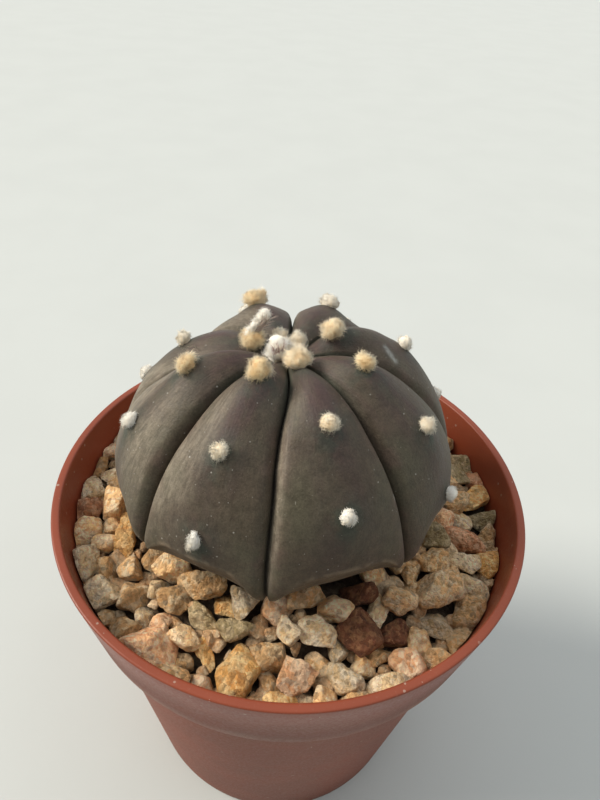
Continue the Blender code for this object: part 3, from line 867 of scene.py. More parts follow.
def skin_material(look):
    """Waxy skin: brown, with purple on the crests and down from the crown, rosy shoulders beside the grooves,
    grey-green round the areoles, feathery pale wax, partly a painted highlight on flanks facing the key
    light, specks and scratches, painted shade in the bottom of the grooves, and tan where it turns under."""
    material, tree, shader = new_material(
        "star_cactus_skin",
        Sheen_Weight=0.03,
        Sheen_Roughness=0.5,
        Sheen_Tint=(1.0, 0.9, 0.78, 1.0),
        Specular_IOR_Level=0.22,
    )
    place = millimetres(tree)
    run = add(tree, "ShaderNodeUVMap", uv_map="flow").outputs[0]
    areole, across, arc = stored(tree, "areole"), stored(tree, "across"), stored(tree, "arc")
    cork, edge, scar, waxy = (stored(tree, name) for name in ("cork", "edge", "scar", "waxy"))
    soft, grain = noise(tree, place, 0.7, 4.0, 0.65), noise(tree, place, 3.5, 4.0, 0.65)
    base = mottled(tree, place, 0.14, look.brown, look.olive)
    crestward = plus(tree, span(tree, across, 0.75, 0.1, 0.0, 0.6), span(tree, arc, 30.0, 6.0, 0.0, 0.7))
    cloud = span(tree, noise(tree, stretched(tree, run, 0.2, 0.09, 1.0), 1.0, 4.0, 0.6), 0.32, 0.68)
    base = over(tree, base, look.purple, crestward, span(tree, cloud, 0.0, 1.0, 0.35, 1.0))
    shoulder = times(tree, span(tree, across, 0.66, 0.88), span(tree, across, 0.99, 0.93))
    blotch = span(tree, noise(tree, place, 0.25), 0.4, 0.65, 0.0, 0.55)
    base = over(tree, base, look.rosy, shoulder, blotch)
    fresh = times(tree, span(tree, across, 0.7, 0.97), span(tree, arc, 21.0, 8.0, 0.0, 0.8))
    halo = times(tree, areole, span(tree, noise(tree, place, 0.45, 4.0), 0.38, 0.6, 0.25, 0.9))
    base = over(tree, base, look.green, calc(tree, "MAXIMUM", fresh, halo))
    feather = noise(tree, stretched(tree, run, 1.6, 0.35, 1.0), 1.0, 5.0, 0.6)
    spread = noise(tree, stretched(tree, run, 0.13, 0.06, 1.0), 1.0, 2.0, 0.5)
    # Pale wax, thickest on flanks that face the key light: partly real wax, partly a painted highlight
    wax = (
        span(tree, feather, 0.38, 0.62, 0.42, 1.0),
        span(tree, spread, 0.36, 0.64, 0.35, 0.95),
        span(tree, across, 0.02, 0.4),
        span(tree, arc, 6.0, 20.0, 0.2, 1.0),
        span(tree, waxy, 0.58, 0.95, 0.04, 0.85),
    )
    base = over(tree, base, look.bloom, *wax)
    tone = times(tree, span(tree, soft, 0.3, 0.7, 0.82, 1.15), span(tree, grain, 0.3, 0.7, 0.84, 1.16))
    tone = add(tree, "ShaderNodeCombineColor", {0: tone, 1: tone, 2: tone}).outputs[0]
    base = tinted(tree, base, tone)
    rings = span(tree, noise(tree, stretched(tree, run, 0.5, 1.6, 1.0), 1.0), 0.3, 0.7)
    base = over(tree, base, blend(tree, rings, look.cork, look.brown), cork, 0.75)
    base = over(tree, base, look.edge, edge, span(tree, noise(tree, place, 0.35), 0.4, 0.62, 0.1, 0.7))
    base = over(tree, base, look.speck, flecks(tree, place, 0.95, 0.13, 0.26), 0.5)
    base = over(tree, base, look.speck, flecks(tree, place, 2.3, 0.24, 0.08), 0.32)
    scratches = flecks(tree, stretched(tree, run, 1.0, 0.3, 1.0), 0.6, 0.15, 0.14)
    base = over(tree, base, look.speck, scratches, 0.25)
    base = over(tree, base, look.scar, scar, span(tree, noise(tree, place, 1.2), 0.35, 0.55, 0.2, 0.8))
    # Painted shade: the bottom of the grooves is darkened almost to black
    base = over(tree, base, GROOVE_SHADE, span(tree, across, 0.965, 0.995, 0.0, 0.8))
    gloss = plus(tree, span(tree, soft, 0.3, 0.7, 0.47, 0.6), times(tree, cork, 0.2))
    relief = plus(tree, times(tree, feather, 0.5), times(tree, grain, 0.5), times(tree, soft, 0.9))
    rough = bumped(tree, relief, 0.7, 0.18 * MM)
    feed(tree, shader, {"Base Color": base, "Roughness": gloss, "Normal": rough})
    return material


# Wool


FELT_RINGS = 2
STRAND_RINGS = 5


def hair_points(roots, outward, sideways, lengths, loose, thickness, rings, draw):
    """Tapered three-sided hairs as arrays. A felted hair leaves the surface, runs along it and bends back in
    an arch, and a loose one runs straight out: each is the mix of the two by its looseness."""
    count = len(roots)
    share = np.linspace(0, 1, rings + 1)[None, :, None]
    free = loose[:, None, None]
    lift = (0.95 * share - 0.8 * share**2) * (1 - free) + share * free
    run = share * (1 - free) + 0.35 * share**2 * free
    third = unit(np.cross(outward, sideways))[:, None, :]
    sway = draw.uniform(-0.35, 0.35, (count, 1, 1)) * share**2
    path = outward[:, None, :] * lift + sideways[:, None, :] * run + third * sway
    path = roots[:, None, :] + path * lengths[:, None, None]
    chord = unit(path[:, -1] - path[:, 0])
    first = unit(np.cross(chord, draw.normal(size=(count, 3))))
    second = np.cross(chord, first)
    turn = turns(3)[None, :, None]
    corner = first[:, None, :] * np.cos(turn) + second[:, None, :] * np.sin(turn)
    girth = (thickness[:, None] * (1 - share[:, :-1, 0]) ** 0.5)[..., None, None]
    around = path[:, :-1, None, :] + corner[:, None, :, :] * girth
    return np.concatenate([around.reshape(count, -1, 3), path[:, -1:]], axis=1)


def hair_faces(count, rings):
    """Quads along the hairs, and triangles that close the root and the tip."""
    quads = []
    for ring in range(rings - 1):
        for side in range(3):
            here, beside = 3 * ring + side, 3 * ring + (side + 1) % 3
            quads.append((here, beside, beside + 3, here + 3))
    last = 3 * (rings - 1)
    ends = [(0, 2, 1)] + [(last + side, last + (side + 1) % 3, last + 3) for side in range(3)]
    each = 3 * rings + 1
    return copies(np.array(quads), count, each), copies(np.array(ends), count, each)


def hair_tips(count, rings):
    """How near each point of the hairs is to its tip."""
    return np.tile(np.append(np.repeat(np.arange(rings) / rings, 3), 1.0), count)


class Fleece:
    """Gathers the felted cores and the hairs of a piece of wool, and makes one mesh of them."""

    def __init__(self, seed):
        self.draw = np.random.default_rng(seed)
        self.points = []
        self.quads = []
        self.triangles = []
        self.normals = []
        self.values = {"tip": [], "shade": [], "age": [], "mauve": []}
        self.count = 0

    def take(self, points, quads, triangles, normals, **values):
        """Adds a shape. A value that isn't given is 0 on all of its points."""
        points = points.reshape(-1, 3)
        self.points.append(points)
        self.normals.append(normals)
        self.quads.append(quads + self.count)
        self.triangles.append(triangles + self.count)
        for name, kept in self.values.items():
            kept.append(np.broadcast_to(values.get(name, 0.0), len(points)))
        self.count += len(points)

    @staticmethod
    def lobes(directions, radii, lumpy, seed):
        """Points of a ball that swells into lobes: its radius follows two sizes of noise."""
        swell = lumps(directions, 0.75, seed) + 0.5 * lumps(directions, 0.35, seed + 1)
        return directions * radii * (1 + lumpy * swell)[:, None]

    def ball(self, centre, axes, radii, look, age, count, length, loose, lumpy, lowest=-0.35):
        """A felted ball of wool. Its core is covered with hairs combed into locks by a swirling field."""
        shape_seed = int(self.draw.integers(1, 100000))
        directions, quads, fans = ball(14, 22)
        core = centre + self.lobes(directions, radii * 0.88, lumpy, shape_seed) @ axes
        # The felted core is painted darker than the hairs: shade in the depth of the tuft
        self.take(core, quads, fans, unit(directions @ axes), tip=0.2, shade=0.3, age=age)
        directions = unit(self.draw.normal(size=(3 * count, 3)))
        directions = directions[directions[:, 2] > lowest][:count]
        roots = centre + self.lobes(directions, radii * 0.86, lumpy, shape_seed) @ axes
        outward = unit((directions / radii) @ axes)
        comb = swirl(roots, 0.7 * MM, shape_seed) + 0.3 * self.draw.normal(size=roots.shape)
        sideways = unit(np.cross(outward, comb))
        number = len(roots)
        free = np.clip(self.draw.beta(1.1, 2.6, number) * 3.2 * loose, 0, 1)
        lock = lumps(roots, 0.7 * MM, shape_seed + 9)
        lengths = length * self.draw.uniform(0.55, 1.2, number) * (1 + 0.8 * lock)
        girths = look.hair_width * self.draw.uniform(0.75, 1.3, number)
        points = hair_points(roots, outward, sideways, lengths, free, girths, FELT_RINGS, self.draw)
        # Each hair's value is random and follows its lock; low values darken it, painted shade between the
        # locks
        own = 0.5 * self.draw.uniform(0, 1, number) + 0.33 + 1.5 * lock
        tint = np.repeat(np.clip(own, 0, 1), points.shape[1])
        tips = hair_tips(number, FELT_RINGS)
        facing = unit(outward[:, None, :] + 0.7 * unit(points - points.mean(axis=1, keepdims=True)))
        faces = hair_faces(number, FELT_RINGS)
        self.take(points, *faces, facing.reshape(-1, 3), tip=tips, shade=tint, age=age)

    def strands(self, roots, directions, length, thickness, age, mauve=0.0, bend=0.3):
        """Single hairs that run out along given directions."""
        number = len(roots)
        sideways = unit(np.cross(directions, self.draw.normal(size=(number, 3))))
        lengths = length * self.draw.uniform(0.5, 1.2, number)
        free = np.full(number, 1 - bend)
        girths = np.full(number, thickness)
        outward = unit(directions)
        points = hair_points(roots, outward, sideways, lengths, free, girths, STRAND_RINGS, self.draw)
        tint = np.repeat(self.draw.uniform(0.2, 1, number), points.shape[1])
        tips = hair_tips(number, STRAND_RINGS)
        facing = np.repeat(outward, points.shape[1], axis=0)
        faces = hair_faces(number, STRAND_RINGS)
        self.take(points, *faces, facing, tip=tips, shade=tint, age=age, mauve=mauve)

    def mesh(self, name):
        """All that was gathered as one mesh, with its own normals and values."""
        made = new_mesh(name, *map(np.concatenate, (self.points, self.quads, self.triangles)))
        made.normals_split_custom_set_from_vertices(np.concatenate(self.normals).astype(np.float32))
        mark(made, **{key: np.concatenate(kept) for key, kept in self.values.items()})
        return made


def tuft(fleece, look, rib, arc, age, width, stretch):
    """A ball of wool on an areole, with a fringe of hairs that lie out over the skin."""
    place, normal, along, sideways = crest_frame(rib, arc)
    height = width * TUFT_STANDING
    young = 1 - age
    hair = look.hair_length * (0.55 + 0.45 * young)
    centre = place + normal * height * TUFT_PROUD * MM
    axes = np.array((along, sideways, normal))
    sides = np.array((width * math.sqrt(stretch), width / math.sqrt(stretch), height))
    body = sides * 0.5 * MM - 0.34 * hair
    count = int(look.density * 4 * math.pi * (width / 2) ** 2 * 0.67)
    loose, lumpy = 0.3 + 0.24 * young, 0.27 + 0.08 * young
    fleece.ball(centre, axes, body, look, age, count, hair, loose=loose, lumpy=lumpy)
    fringe = int((36 + 76 * young) * width / WIDE_TUFT)
    turn = fleece.draw.uniform(0, math.tau, fringe)
    ring = circle(1.0, turn, fleece.draw.uniform(-0.35, 0.5, fringe))
    roots = centre + (unit(ring) * body * 0.85) @ axes
    fleece.strands(roots, ring @ axes, hair * 1.15, look.hair_width * 0.8, age)


def wool_material(look):
    """Felted plant hair. Young wool is golden, with painted brown shade in its depth, and pales through cream
    to white. The wool darkens towards the roots, in the core and between the locks: painted shade.
    """
    material, tree, shader = new_material(
        "areole_wool",
        Roughness=0.9,
        Sheen_Weight=1.0,
        Sheen_Roughness=0.5,
        Sheen_Tint=(1.0, 0.9, 0.72, 1.0),
        Specular_IOR_Level=0.2,
    )
    age, tint, tip, mauve = (stored(tree, name) for name in ("age", "shade", "tip", "mauve"))
    old = blend(tree, span(tree, age, 0.45, 1.0), look.cream, look.white)
    pale = blend(tree, span(tree, age, 0.0, 0.5), look.golden, old)
    patches = noise(tree, millimetres(tree), 0.5, 3.0, 0.6)
    stain = times(tree, span(tree, patches, 0.42, 0.62), span(tree, age, 0.0, 1.0, 0.65, 0.1))
    pale = blend(tree, stain, pale, tinted(tree, pale, WOOL_STAIN))
    # Painted shade: darker towards the roots, in the core and between the locks
    deep = tinted(tree, pale, blend(tree, age, YOUNG_WOOL_SHADE, OLD_WOOL_SHADE))
    depth = plus(tree, times(tree, tip, 0.6), times(tree, tint, 0.6))
    lit = blend(tree, span(tree, depth, 0.12, 0.46), deep, pale)
    feed(tree, shader, {"Base Color": blend(tree, mauve, lit, look.mauve)})
    return material


# Stones


def collar_inner_radius(height):
    """Radius of the collar's inner wall at a height over the base."""
    share = ramp(height, POT_HEIGHT - COLLAR_DEPTH, POT_HEIGHT)
    return COLLAR_FOOT_RADIUS + (RIM_RADIUS - COLLAR_FOOT_RADIUS) * share - LIP_WIDTH


def bed_top(distance):
    """Height of the bed between the stones, at a distance from the pot's axis: it rises to the plant."""
    return POT_HEIGHT + BED_TOP_INNER + (BED_TOP_OUTER - BED_TOP_INNER) * ramp(distance, *BED_SLOPE)


def stone_places():
    """Every stone: the large ones in their places, then others dropped wherever they find room, ever
    smaller."""
    draw = random.Random(STONE_SEED)
    kinds = random.Random(STONE_SEED + 1)
    nearest, furthest = STONE_RING
    first, last = STONE_LENGTHS
    placed = []

    def lay(x, y, length, width, turn, kind):
        height = width * draw.uniform(0.75, 1.0)
        chips = [draw.uniform(0.85, 1.2) for _ in range(FACETS)]
        tumble = (draw.uniform(0, math.tau), draw.uniform(0, math.tau))
        lean = draw.uniform(-0.25, 0.25)
        placed.append(Stone(x, y, length, width, height, turn, lean, tumble, chips, kind))

    def clear(x, y, length):
        for other in placed:
            if math.hypot(x - other.x, y - other.y) <= STONE_CROWDING * (length + other.length):
                return False
        return math.hypot(x - PLANT_X, y - PLANT_Y) > nearest

    for azimuth, distance, length, width, turn, kind in LARGE_STONES:
        angle = math.radians(azimuth)
        x, y = distance * MM * math.cos(angle), distance * MM * math.sin(angle)
        lay(x, y, length * MM, width * MM, math.radians(turn), kind)
    for attempt in range(STONE_TRIES):
        angle = draw.uniform(0, math.tau)
        distance = math.sqrt(draw.uniform((nearest / 2) ** 2, furthest**2))
        x, y = distance * math.cos(angle), distance * math.sin(angle)
        length = (first + (last - first) * math.sqrt(attempt / STONE_TRIES)) * MM
        if clear(x, y, length):
            kind = kinds.choices(list(STONE_MIX), list(STONE_MIX.values()))[0]
            width = length * draw.uniform(0.65, 0.9)
            lay(x, y, length, width, draw.uniform(0, math.pi), kind)
    return placed


def icosahedron():
    """The twelve directions of an icosahedron's corners: the golden ratio's rectangles in three planes."""
    golden = (1 + math.sqrt(5)) / 2
    corners = []
    for one in (-1, 1):
        for two in (-golden, golden):
            corners += [(0, one, two), (one, two, 0), (two, 0, one)]
    return unit(np.array(corners, float))


def hewn(directions, chips, draw, sharpness):
    """A stone's shape: the space inside a set of planes whose edges are worn. Each direction's radius is the
    power mean of how soon it meets the planes, and a higher power leaves sharper edges."""
    normals = unit(icosahedron() + draw.normal(scale=0.28, size=(FACETS, 3)))
    reach = np.array(chips) * 0.5
    cut = draw.permutation(FACETS)[:BROAD_FACETS]
    reach[cut] *= draw.uniform(0.62, 0.86, BROAD_FACETS)
    facing = np.maximum(directions @ normals.T, 0) / reach
    radius = (facing**sharpness).sum(axis=1) ** (-1 / sharpness)
    return directions * radius[:, None]


def stem_reach():
    """The stem's radius at heights and azimuths: a table of the skin below its widest, for clear_of_stem."""
    station = np.linspace(7.0, LAST_STATION - 0.5, 90)
    azimuth = np.arange(0, 360, REACH_STEP)
    grid = skin(*np.meshgrid(station, azimuth, indexing="ij")) - PLANT_MIDDLE
    radius = np.hypot(grid[..., 0], grid[..., 1])
    heights = np.linspace(POT_HEIGHT - 15 * MM, POT_HEIGHT + 8 * MM, 60)
    columns = zip(grid[::-1, :, 2].T, radius[::-1].T)
    return heights, np.array([np.interp(heights, known, values) for known, values in columns])


def clear_of_stem(points, reach):
    """Points inside the stem are moved straight out to its skin."""
    heights, table = reach
    away = points[:, :2] - PLANT_MIDDLE[:2]
    distance = np.hypot(away[:, 0], away[:, 1])
    azimuth = np.degrees(np.arctan2(away[:, 1], away[:, 0])) % 360
    column = np.round(azimuth / REACH_STEP).astype(int) % len(table)
    row = np.round(ramp(points[:, 2], heights[0], heights[-1]) * (len(heights) - 1)).astype(int)
    least = table[column, row] + SKIN_CLEARANCE
    inside = (distance < least) & (points[:, 2] < heights[-1])
    grow = np.where(inside, least / np.maximum(distance, 1e-6), 1.0)
    points[:, :2] = away * grow[:, None] + PLANT_MIDDLE[:2]
    return points


def clear_of_wall(points):
    """Points in the pot's wall are drawn in to it."""
    distance = np.hypot(points[:, 0], points[:, 1])
    reach = collar_inner_radius(points[:, 2]) - GAP
    points[:, :2] *= np.minimum(1.0, reach / distance)[:, None]
    return points


def settled(places):
    """Middles of the stones after they have settled: over some rounds every two that overlap push each other
    apart in all three directions, and none goes far from where it was dropped."""
    size = np.array([(stone.length + stone.width + stone.height) / 6 for stone in places]) * STONE_GROWTH
    draw = np.random.default_rng(STONE_SEED + 2)
    tops = [bed_top(math.hypot(stone.x, stone.y)) + stone.height * STONE_PROUD for stone in places]
    start = np.array([(stone.x, stone.y, top) for stone, top in zip(places, tops)])
    start[:, 2] += draw.uniform(-0.2, 0.5, len(start)) * MM
    middles = start.copy()
    others = 1 - np.eye(len(places))
    wanted = 0.94 * (size[:, None] + size[None, :])
    for _ in range(SETTLING_ROUNDS):
        apart = middles[:, None, :] - middles[None, :, :]
        distance = np.linalg.norm(apart, axis=-1) + np.eye(len(places))
        push = np.maximum(wanted - distance, 0) * others
        middles = middles + 0.25 * (apart / distance[..., None] * push[..., None]).sum(axis=1)
        moved = middles - start
        length = np.linalg.norm(moved, axis=1, keepdims=True)
        middles = start + moved * np.minimum(1, SETTLING_REACH / np.maximum(length, 1e-9))
    return middles


def lay_stone(stone, middle, directions, draw, sharpness):
    """A hewn stone tumbled, stretched to its size, leant, turned and set in its place, with a rough skin."""
    shape = hewn(directions, stone.chips, draw, sharpness)
    first, second = stone.tumble
    shape = shape @ np.array(Matrix.Rotation(first, 3, "X") @ Matrix.Rotation(second, 3, "Z")).T
    low, high = shape.min(axis=0), shape.max(axis=0)
    size = np.array((stone.length, stone.width, stone.height))
    shape = (shape - (low + high) / 2) / (high - low) * size * STONE_GROWTH
    shape = shape @ np.array(Matrix.Rotation(stone.turn, 3, "Z") @ Matrix.Rotation(stone.lean, 3, "Y")).T
    points = shape + middle
    rough = sum(share * lumps(points, width * MM, seed) for share, width, seed in STONE_ROUGHNESS)
    return points + unit(shape) * (rough * min(1.0, stone.length / (5 * MM)) * MM)[:, None]


def stones_mesh(name, shapes, tints, grids):
    """One mesh of many stones, grouped by the grid that they were made on."""
    points = np.concatenate([shape for group_shapes in shapes for shape in group_shapes])
    faces, start = [], 0
    for group_shapes, (directions, quads) in zip(shapes, grids):
        faces.append(copies(quads, len(group_shapes), len(directions)) + start)
        start += len(group_shapes) * len(directions)
    mesh = new_mesh(name, points, np.concatenate(faces))
    sizes = [len(directions) for directions, _ in grids]
    marks = [np.repeat(group_tints, size) for group_tints, size in zip(tints, sizes)]
    mark(mesh, tint=np.concatenate(marks))
    return mesh


def build_stones(kind, places, middles, reach):
    """The stones of one kind in one mesh, each marked with its own tint. Large stones get a finer grid."""
    grids = (cube_ball(15), cube_ball(10))
    shapes, tints = ([], []), ([], [])
    for number, stone in enumerate(places):
        if stone.kind != kind:
            continue
        draw = np.random.default_rng(STONE_SEED * 1000 + number)
        fine = 0 if number < len(LARGE_STONES) else 1
        shape = lay_stone(stone, middles[number], grids[fine][0], draw, draw.uniform(8, 20))
        shapes[fine].append(clear_of_wall(clear_of_stem(shape, reach)))
        tints[fine].append(draw.uniform(0, 1))
    return stones_mesh(f"grit_{kind}", shapes, tints, grids)


def gap_places(look, places, middles, draw):
    """Where the chips go: random places on the bed that no larger stone already fills."""
    angle = draw.uniform(0, math.tau, 12 * look.chips)
    distance = np.sqrt(draw.uniform((23 * MM) ** 2, (39.4 * MM) ** 2, len(angle)))
    spots = circle(distance, angle, 0.0)
    lengths = draw.uniform(1.8, 4.0, len(angle)) * MM
    sizes = np.array([(stone.length + stone.width) / 4 for stone in places])
    away = np.linalg.norm((spots[:, None, :] - middles[None, :, :])[..., :2], axis=-1)
    free = (away > 0.78 * sizes[None, :] + 0.3 * lengths[:, None]).all(axis=1)
    free &= np.linalg.norm(spots - PLANT_MIDDLE, axis=1) > 24 * MM
    return spots[free][: look.chips], lengths[free][: look.chips]


def build_chips(look, places, middles, reach):
    """Small chips of stone that fill the gaps: few-sided, each with its own tint."""
    draw = np.random.default_rng(STONE_SEED + 5)
    grid = cube_ball(5)
    shapes, tints = [], []
    spots, lengths = gap_places(look, places, middles, draw)
    for (x, y, _), length in zip(spots, lengths):
        width = length * draw.uniform(0.6, 0.95)
        height = width * draw.uniform(0.7, 1.0)
        tumble = draw.uniform(0, math.tau, 2)
        chips = draw.uniform(0.85, 1.2, FACETS)
        turn, lean = draw.uniform(0, math.pi), draw.uniform(-0.5, 0.5)
        middle = np.array((x, y, bed_top(math.hypot(x, y)) + draw.uniform(-0.1, 0.7) * MM))
        stone = Stone(x, y, length, width, height, turn, lean, tumble, chips, "chips")
        shape = lay_stone(stone, middle, grid[0], draw, 12.0)
        shapes.append(clear_of_wall(clear_of_stem(shape, reach)))
        tints.append(draw.uniform(0, 1))
    return stones_mesh("grit_chips", [shapes], [tints], [grid])


def build_bed():
    """The bed of fine grit, a ring between the pot's wall and the root: its section runs in from the wall,
    over the crumbling top, down the root's hole and out along the bottom. Circles about the pot's axis shift
    to circles about the plant's as they near it."""
    bottom = POT_HEIGHT + BED_BOTTOM
    outer = float(collar_inner_radius(bed_top(RIM_RADIUS))) - GAP
    inner = 21.0 * MM
    section = [(outer - 1.6 * MM, bottom, 0.0)]
    section += [(outer, bottom + 1.6 * MM, 0.0), (outer, bed_top(RIM_RADIUS) - 0.4 * MM, 0.2)]
    top = np.linspace(outer - 0.2 * MM, inner, BED_RINGS)
    section += [(radius, float(bed_top(radius)), 1.0) for radius in top]
    section += [(inner - 2.0 * MM, bed_top(0.0) - 1.5 * MM, 0.2), (18.0 * MM, bottom, 0.0)]
    radius, height, crumble = (np.array(column)[:, None] for column in zip(*section))
    nearness = 1 - ramp(radius, inner, inner + 8 * MM)
    grid = circle(radius, turns(BED_SIDES)[None, :], height) + PLANT_MIDDLE * nearness[..., None]
    rough = 0.55 * lumps(grid, 1.6 * MM, 21) + 0.4 * lumps(grid, 0.8 * MM, 22) - 0.9
    grid[..., 2] += rough * crumble * MM
    points = clear_of_wall(grid.reshape(-1, 3))
    here = np.arange(BED_SIDES)
    beside = (here + 1) % BED_SIDES
    last = (len(section) - 1) * BED_SIDES
    closing = np.stack([here, beside, last + beside, last + here], axis=-1)
    mesh = new_mesh("grit_bed", points, ring_faces(len(section), BED_SIDES)[:, ::-1], closing)
    mark(mesh, tint=np.zeros(len(points)))
    return mesh


def granite_material(name, ground, stain, pale, dark, stained, crystals):
    """One kind of granite. Stones that lie deep among the others are darker: painted shade."""
    material, tree, shader = new_material(f"granite_{name}", Specular_IOR_Level=0.4)
    place = millimetres(tree)
    x, y, z = add(tree, "ShaderNodeSeparateXYZ", {0: place}).outputs
    flat = add(tree, "ShaderNodeCombineXYZ", {0: x, 1: y}).outputs[0]
    radius = add(tree, "ShaderNodeVectorMath", {0: flat}, operation="LENGTH").outputs["Value"]
    inner, outer = (bed_top(edge) / MM for edge in BED_SLOPE)
    top = span(tree, radius, BED_SLOPE[0] / MM, BED_SLOPE[1] / MM, inner, outer)
    values = {
        "Place": place,
        # Painted shade: darker the lower a point lies under the bed's top
        "Lit": span(tree, calc(tree, "SUBTRACT", z, top), -0.9, 1.4, 0.3, 1.0),
        "Ground": colour(ground),
        "Stain": colour(stain),
        "Pale": colour(pale),
        "Dark": colour(dark),
        "Stained": stained,
        "Crystals": crystals,
        "Tint": stored(tree, "tint"),
    }
    granite = use(tree, "granite", build_granite, values)
    rough = bumped(tree, granite["Height"], 1.0, 0.8 * MM)
    inputs = {"Base Color": granite["Color"], "Roughness": granite["Roughness"], "Normal": rough}
    feed(tree, shader, inputs)
    return material


# Pot


def rounded(corners, steps=5):
    """A section with its corners rounded: each (radius, height, round, outside) corner becomes a quadratic
    curve that starts and ends that far from it."""
    points = []
    for number, (radius, height, round_off, outside) in enumerate(corners):
        here = np.array((radius, height))
        if round_off == 0:
            points.append((*here, outside))
            continue
        before = np.array(corners[number - 1][:2])
        after = np.array(corners[(number + 1) % len(corners)][:2])
        start = here + unit(before - here) * round_off
        end = here + unit(after - here) * round_off
        for share in np.linspace(0, 1, steps):
            place = start * (1 - share) ** 2 + 2 * here * share * (1 - share) + end * share**2
            points.append((*place, outside))
    return points


def between(points, longest):
    """The section with further points on its long straight runs."""
    filled = []
    for first, second in zip(points[:-1], points[1:]):
        length = math.hypot(second[0] - first[0], second[1] - first[1])
        steps = max(1, math.ceil(length / longest))
        for step in range(steps):
            share = step / steps
            filled.append(tuple(a * (1 - share) + b * share for a, b in zip(first, second)))
    filled.append(points[-1])
    return filled


def build_pot(look):
    """The thin moulded shell, turned from a rounded section: body, ledge, collar, flat lip, foot ring and
    floor."""
    ledge = POT_HEIGHT - COLLAR_DEPTH
    foot_inner = BASE_RADIUS - FOOT_WIDTH
    lip = look.lip_round
    corners = [
        (BASE_RADIUS - WALL, FLOOR_TOP, 1.0 * MM, 0.0),
        (BODY_TOP_RADIUS - WALL, ledge + WALL, 0.7 * MM, 0.0),
        (float(collar_inner_radius(ledge)), ledge + WALL, 0.7 * MM, 0.0),
        (RIM_RADIUS - LIP_WIDTH, POT_HEIGHT, lip, 0.5),
        (RIM_RADIUS, POT_HEIGHT, lip, 0.5),
        (COLLAR_FOOT_RADIUS, ledge, 0.5 * MM, 1.0),
        (BODY_TOP_RADIUS, ledge, 0.35 * MM, 1.0),
        (BASE_RADIUS, 0.0, 0.6 * MM, 1.0),
        (foot_inner, 0.0, 0.4 * MM, 1.0),
        (foot_inner, FOOT_HEIGHT, 0.4 * MM, 1.0),
    ]
    start = (2 * MM, FLOOR_TOP, 0.0)
    end = (2 * MM, FOOT_HEIGHT, 1.0)
    section = between([start, *rounded(corners), end], 3.0 * MM)
    radius, height, outside = (np.array(column)[:, None] for column in zip(*section))
    grid = circle(radius, turns(look.sides)[None, :], height)
    mesh = new_mesh("pot_shell", *closed_grid((0, 0, FLOOR_TOP), grid, (0, 0, FOOT_HEIGHT)))
    mark(mesh, outside=np.concatenate([[0.0], np.repeat(outside.ravel(), look.sides), [1.0]]))
    return mesh


def drain_cutters():
    """Plugs that the drain holes are cut with."""
    plugs = []
    height = np.array(((3.0,), (-1.0,))) * FLOOR_TOP
    for hole in range(DRAIN_HOLES):
        turn = math.tau * (hole + 0.5) / DRAIN_HOLES
        middle = DRAIN_CIRCLE * np.array((math.cos(turn), math.sin(turn), 0.0))
        grid = middle + circle(DRAIN_RADIUS, turns(DRAIN_SIDES)[None, :], height)
        ends = middle + height * UP
        mesh = new_mesh("drain_cutter", *closed_grid(ends[0], grid, ends[1]))
        plugs.append(bpy.data.objects.new("drain_cutter", mesh))
    return plugs


def cut_drains(shell):
    """One Boolean with all the plugs, applied, after which the plugs are removed."""
    helpers = bpy.data.collections.new("drain_cutters")
    bpy.context.scene.collection.children.link(helpers)
    plugs = drain_cutters()
    for plug in plugs:
        helpers.objects.link(plug)
    cut = shell.modifiers.new("Drains", "BOOLEAN")
    cut.operation = "DIFFERENCE"
    cut.operand_type = "COLLECTION"
    cut.collection = helpers
    cut.solver = "EXACT"
    graph = bpy.context.evaluated_depsgraph_get()
    mesh = bpy.data.meshes.new_from_object(shell.evaluated_get(graph))
    shell.modifiers.clear()
    shell.data = mesh
    for plug in plugs:
        bpy.data.objects.remove(plug, do_unlink=True)
    bpy.data.collections.remove(helpers)
    mesh.shade_smooth()
    mesh.set_sharp_from_angle(angle=math.radians(40))


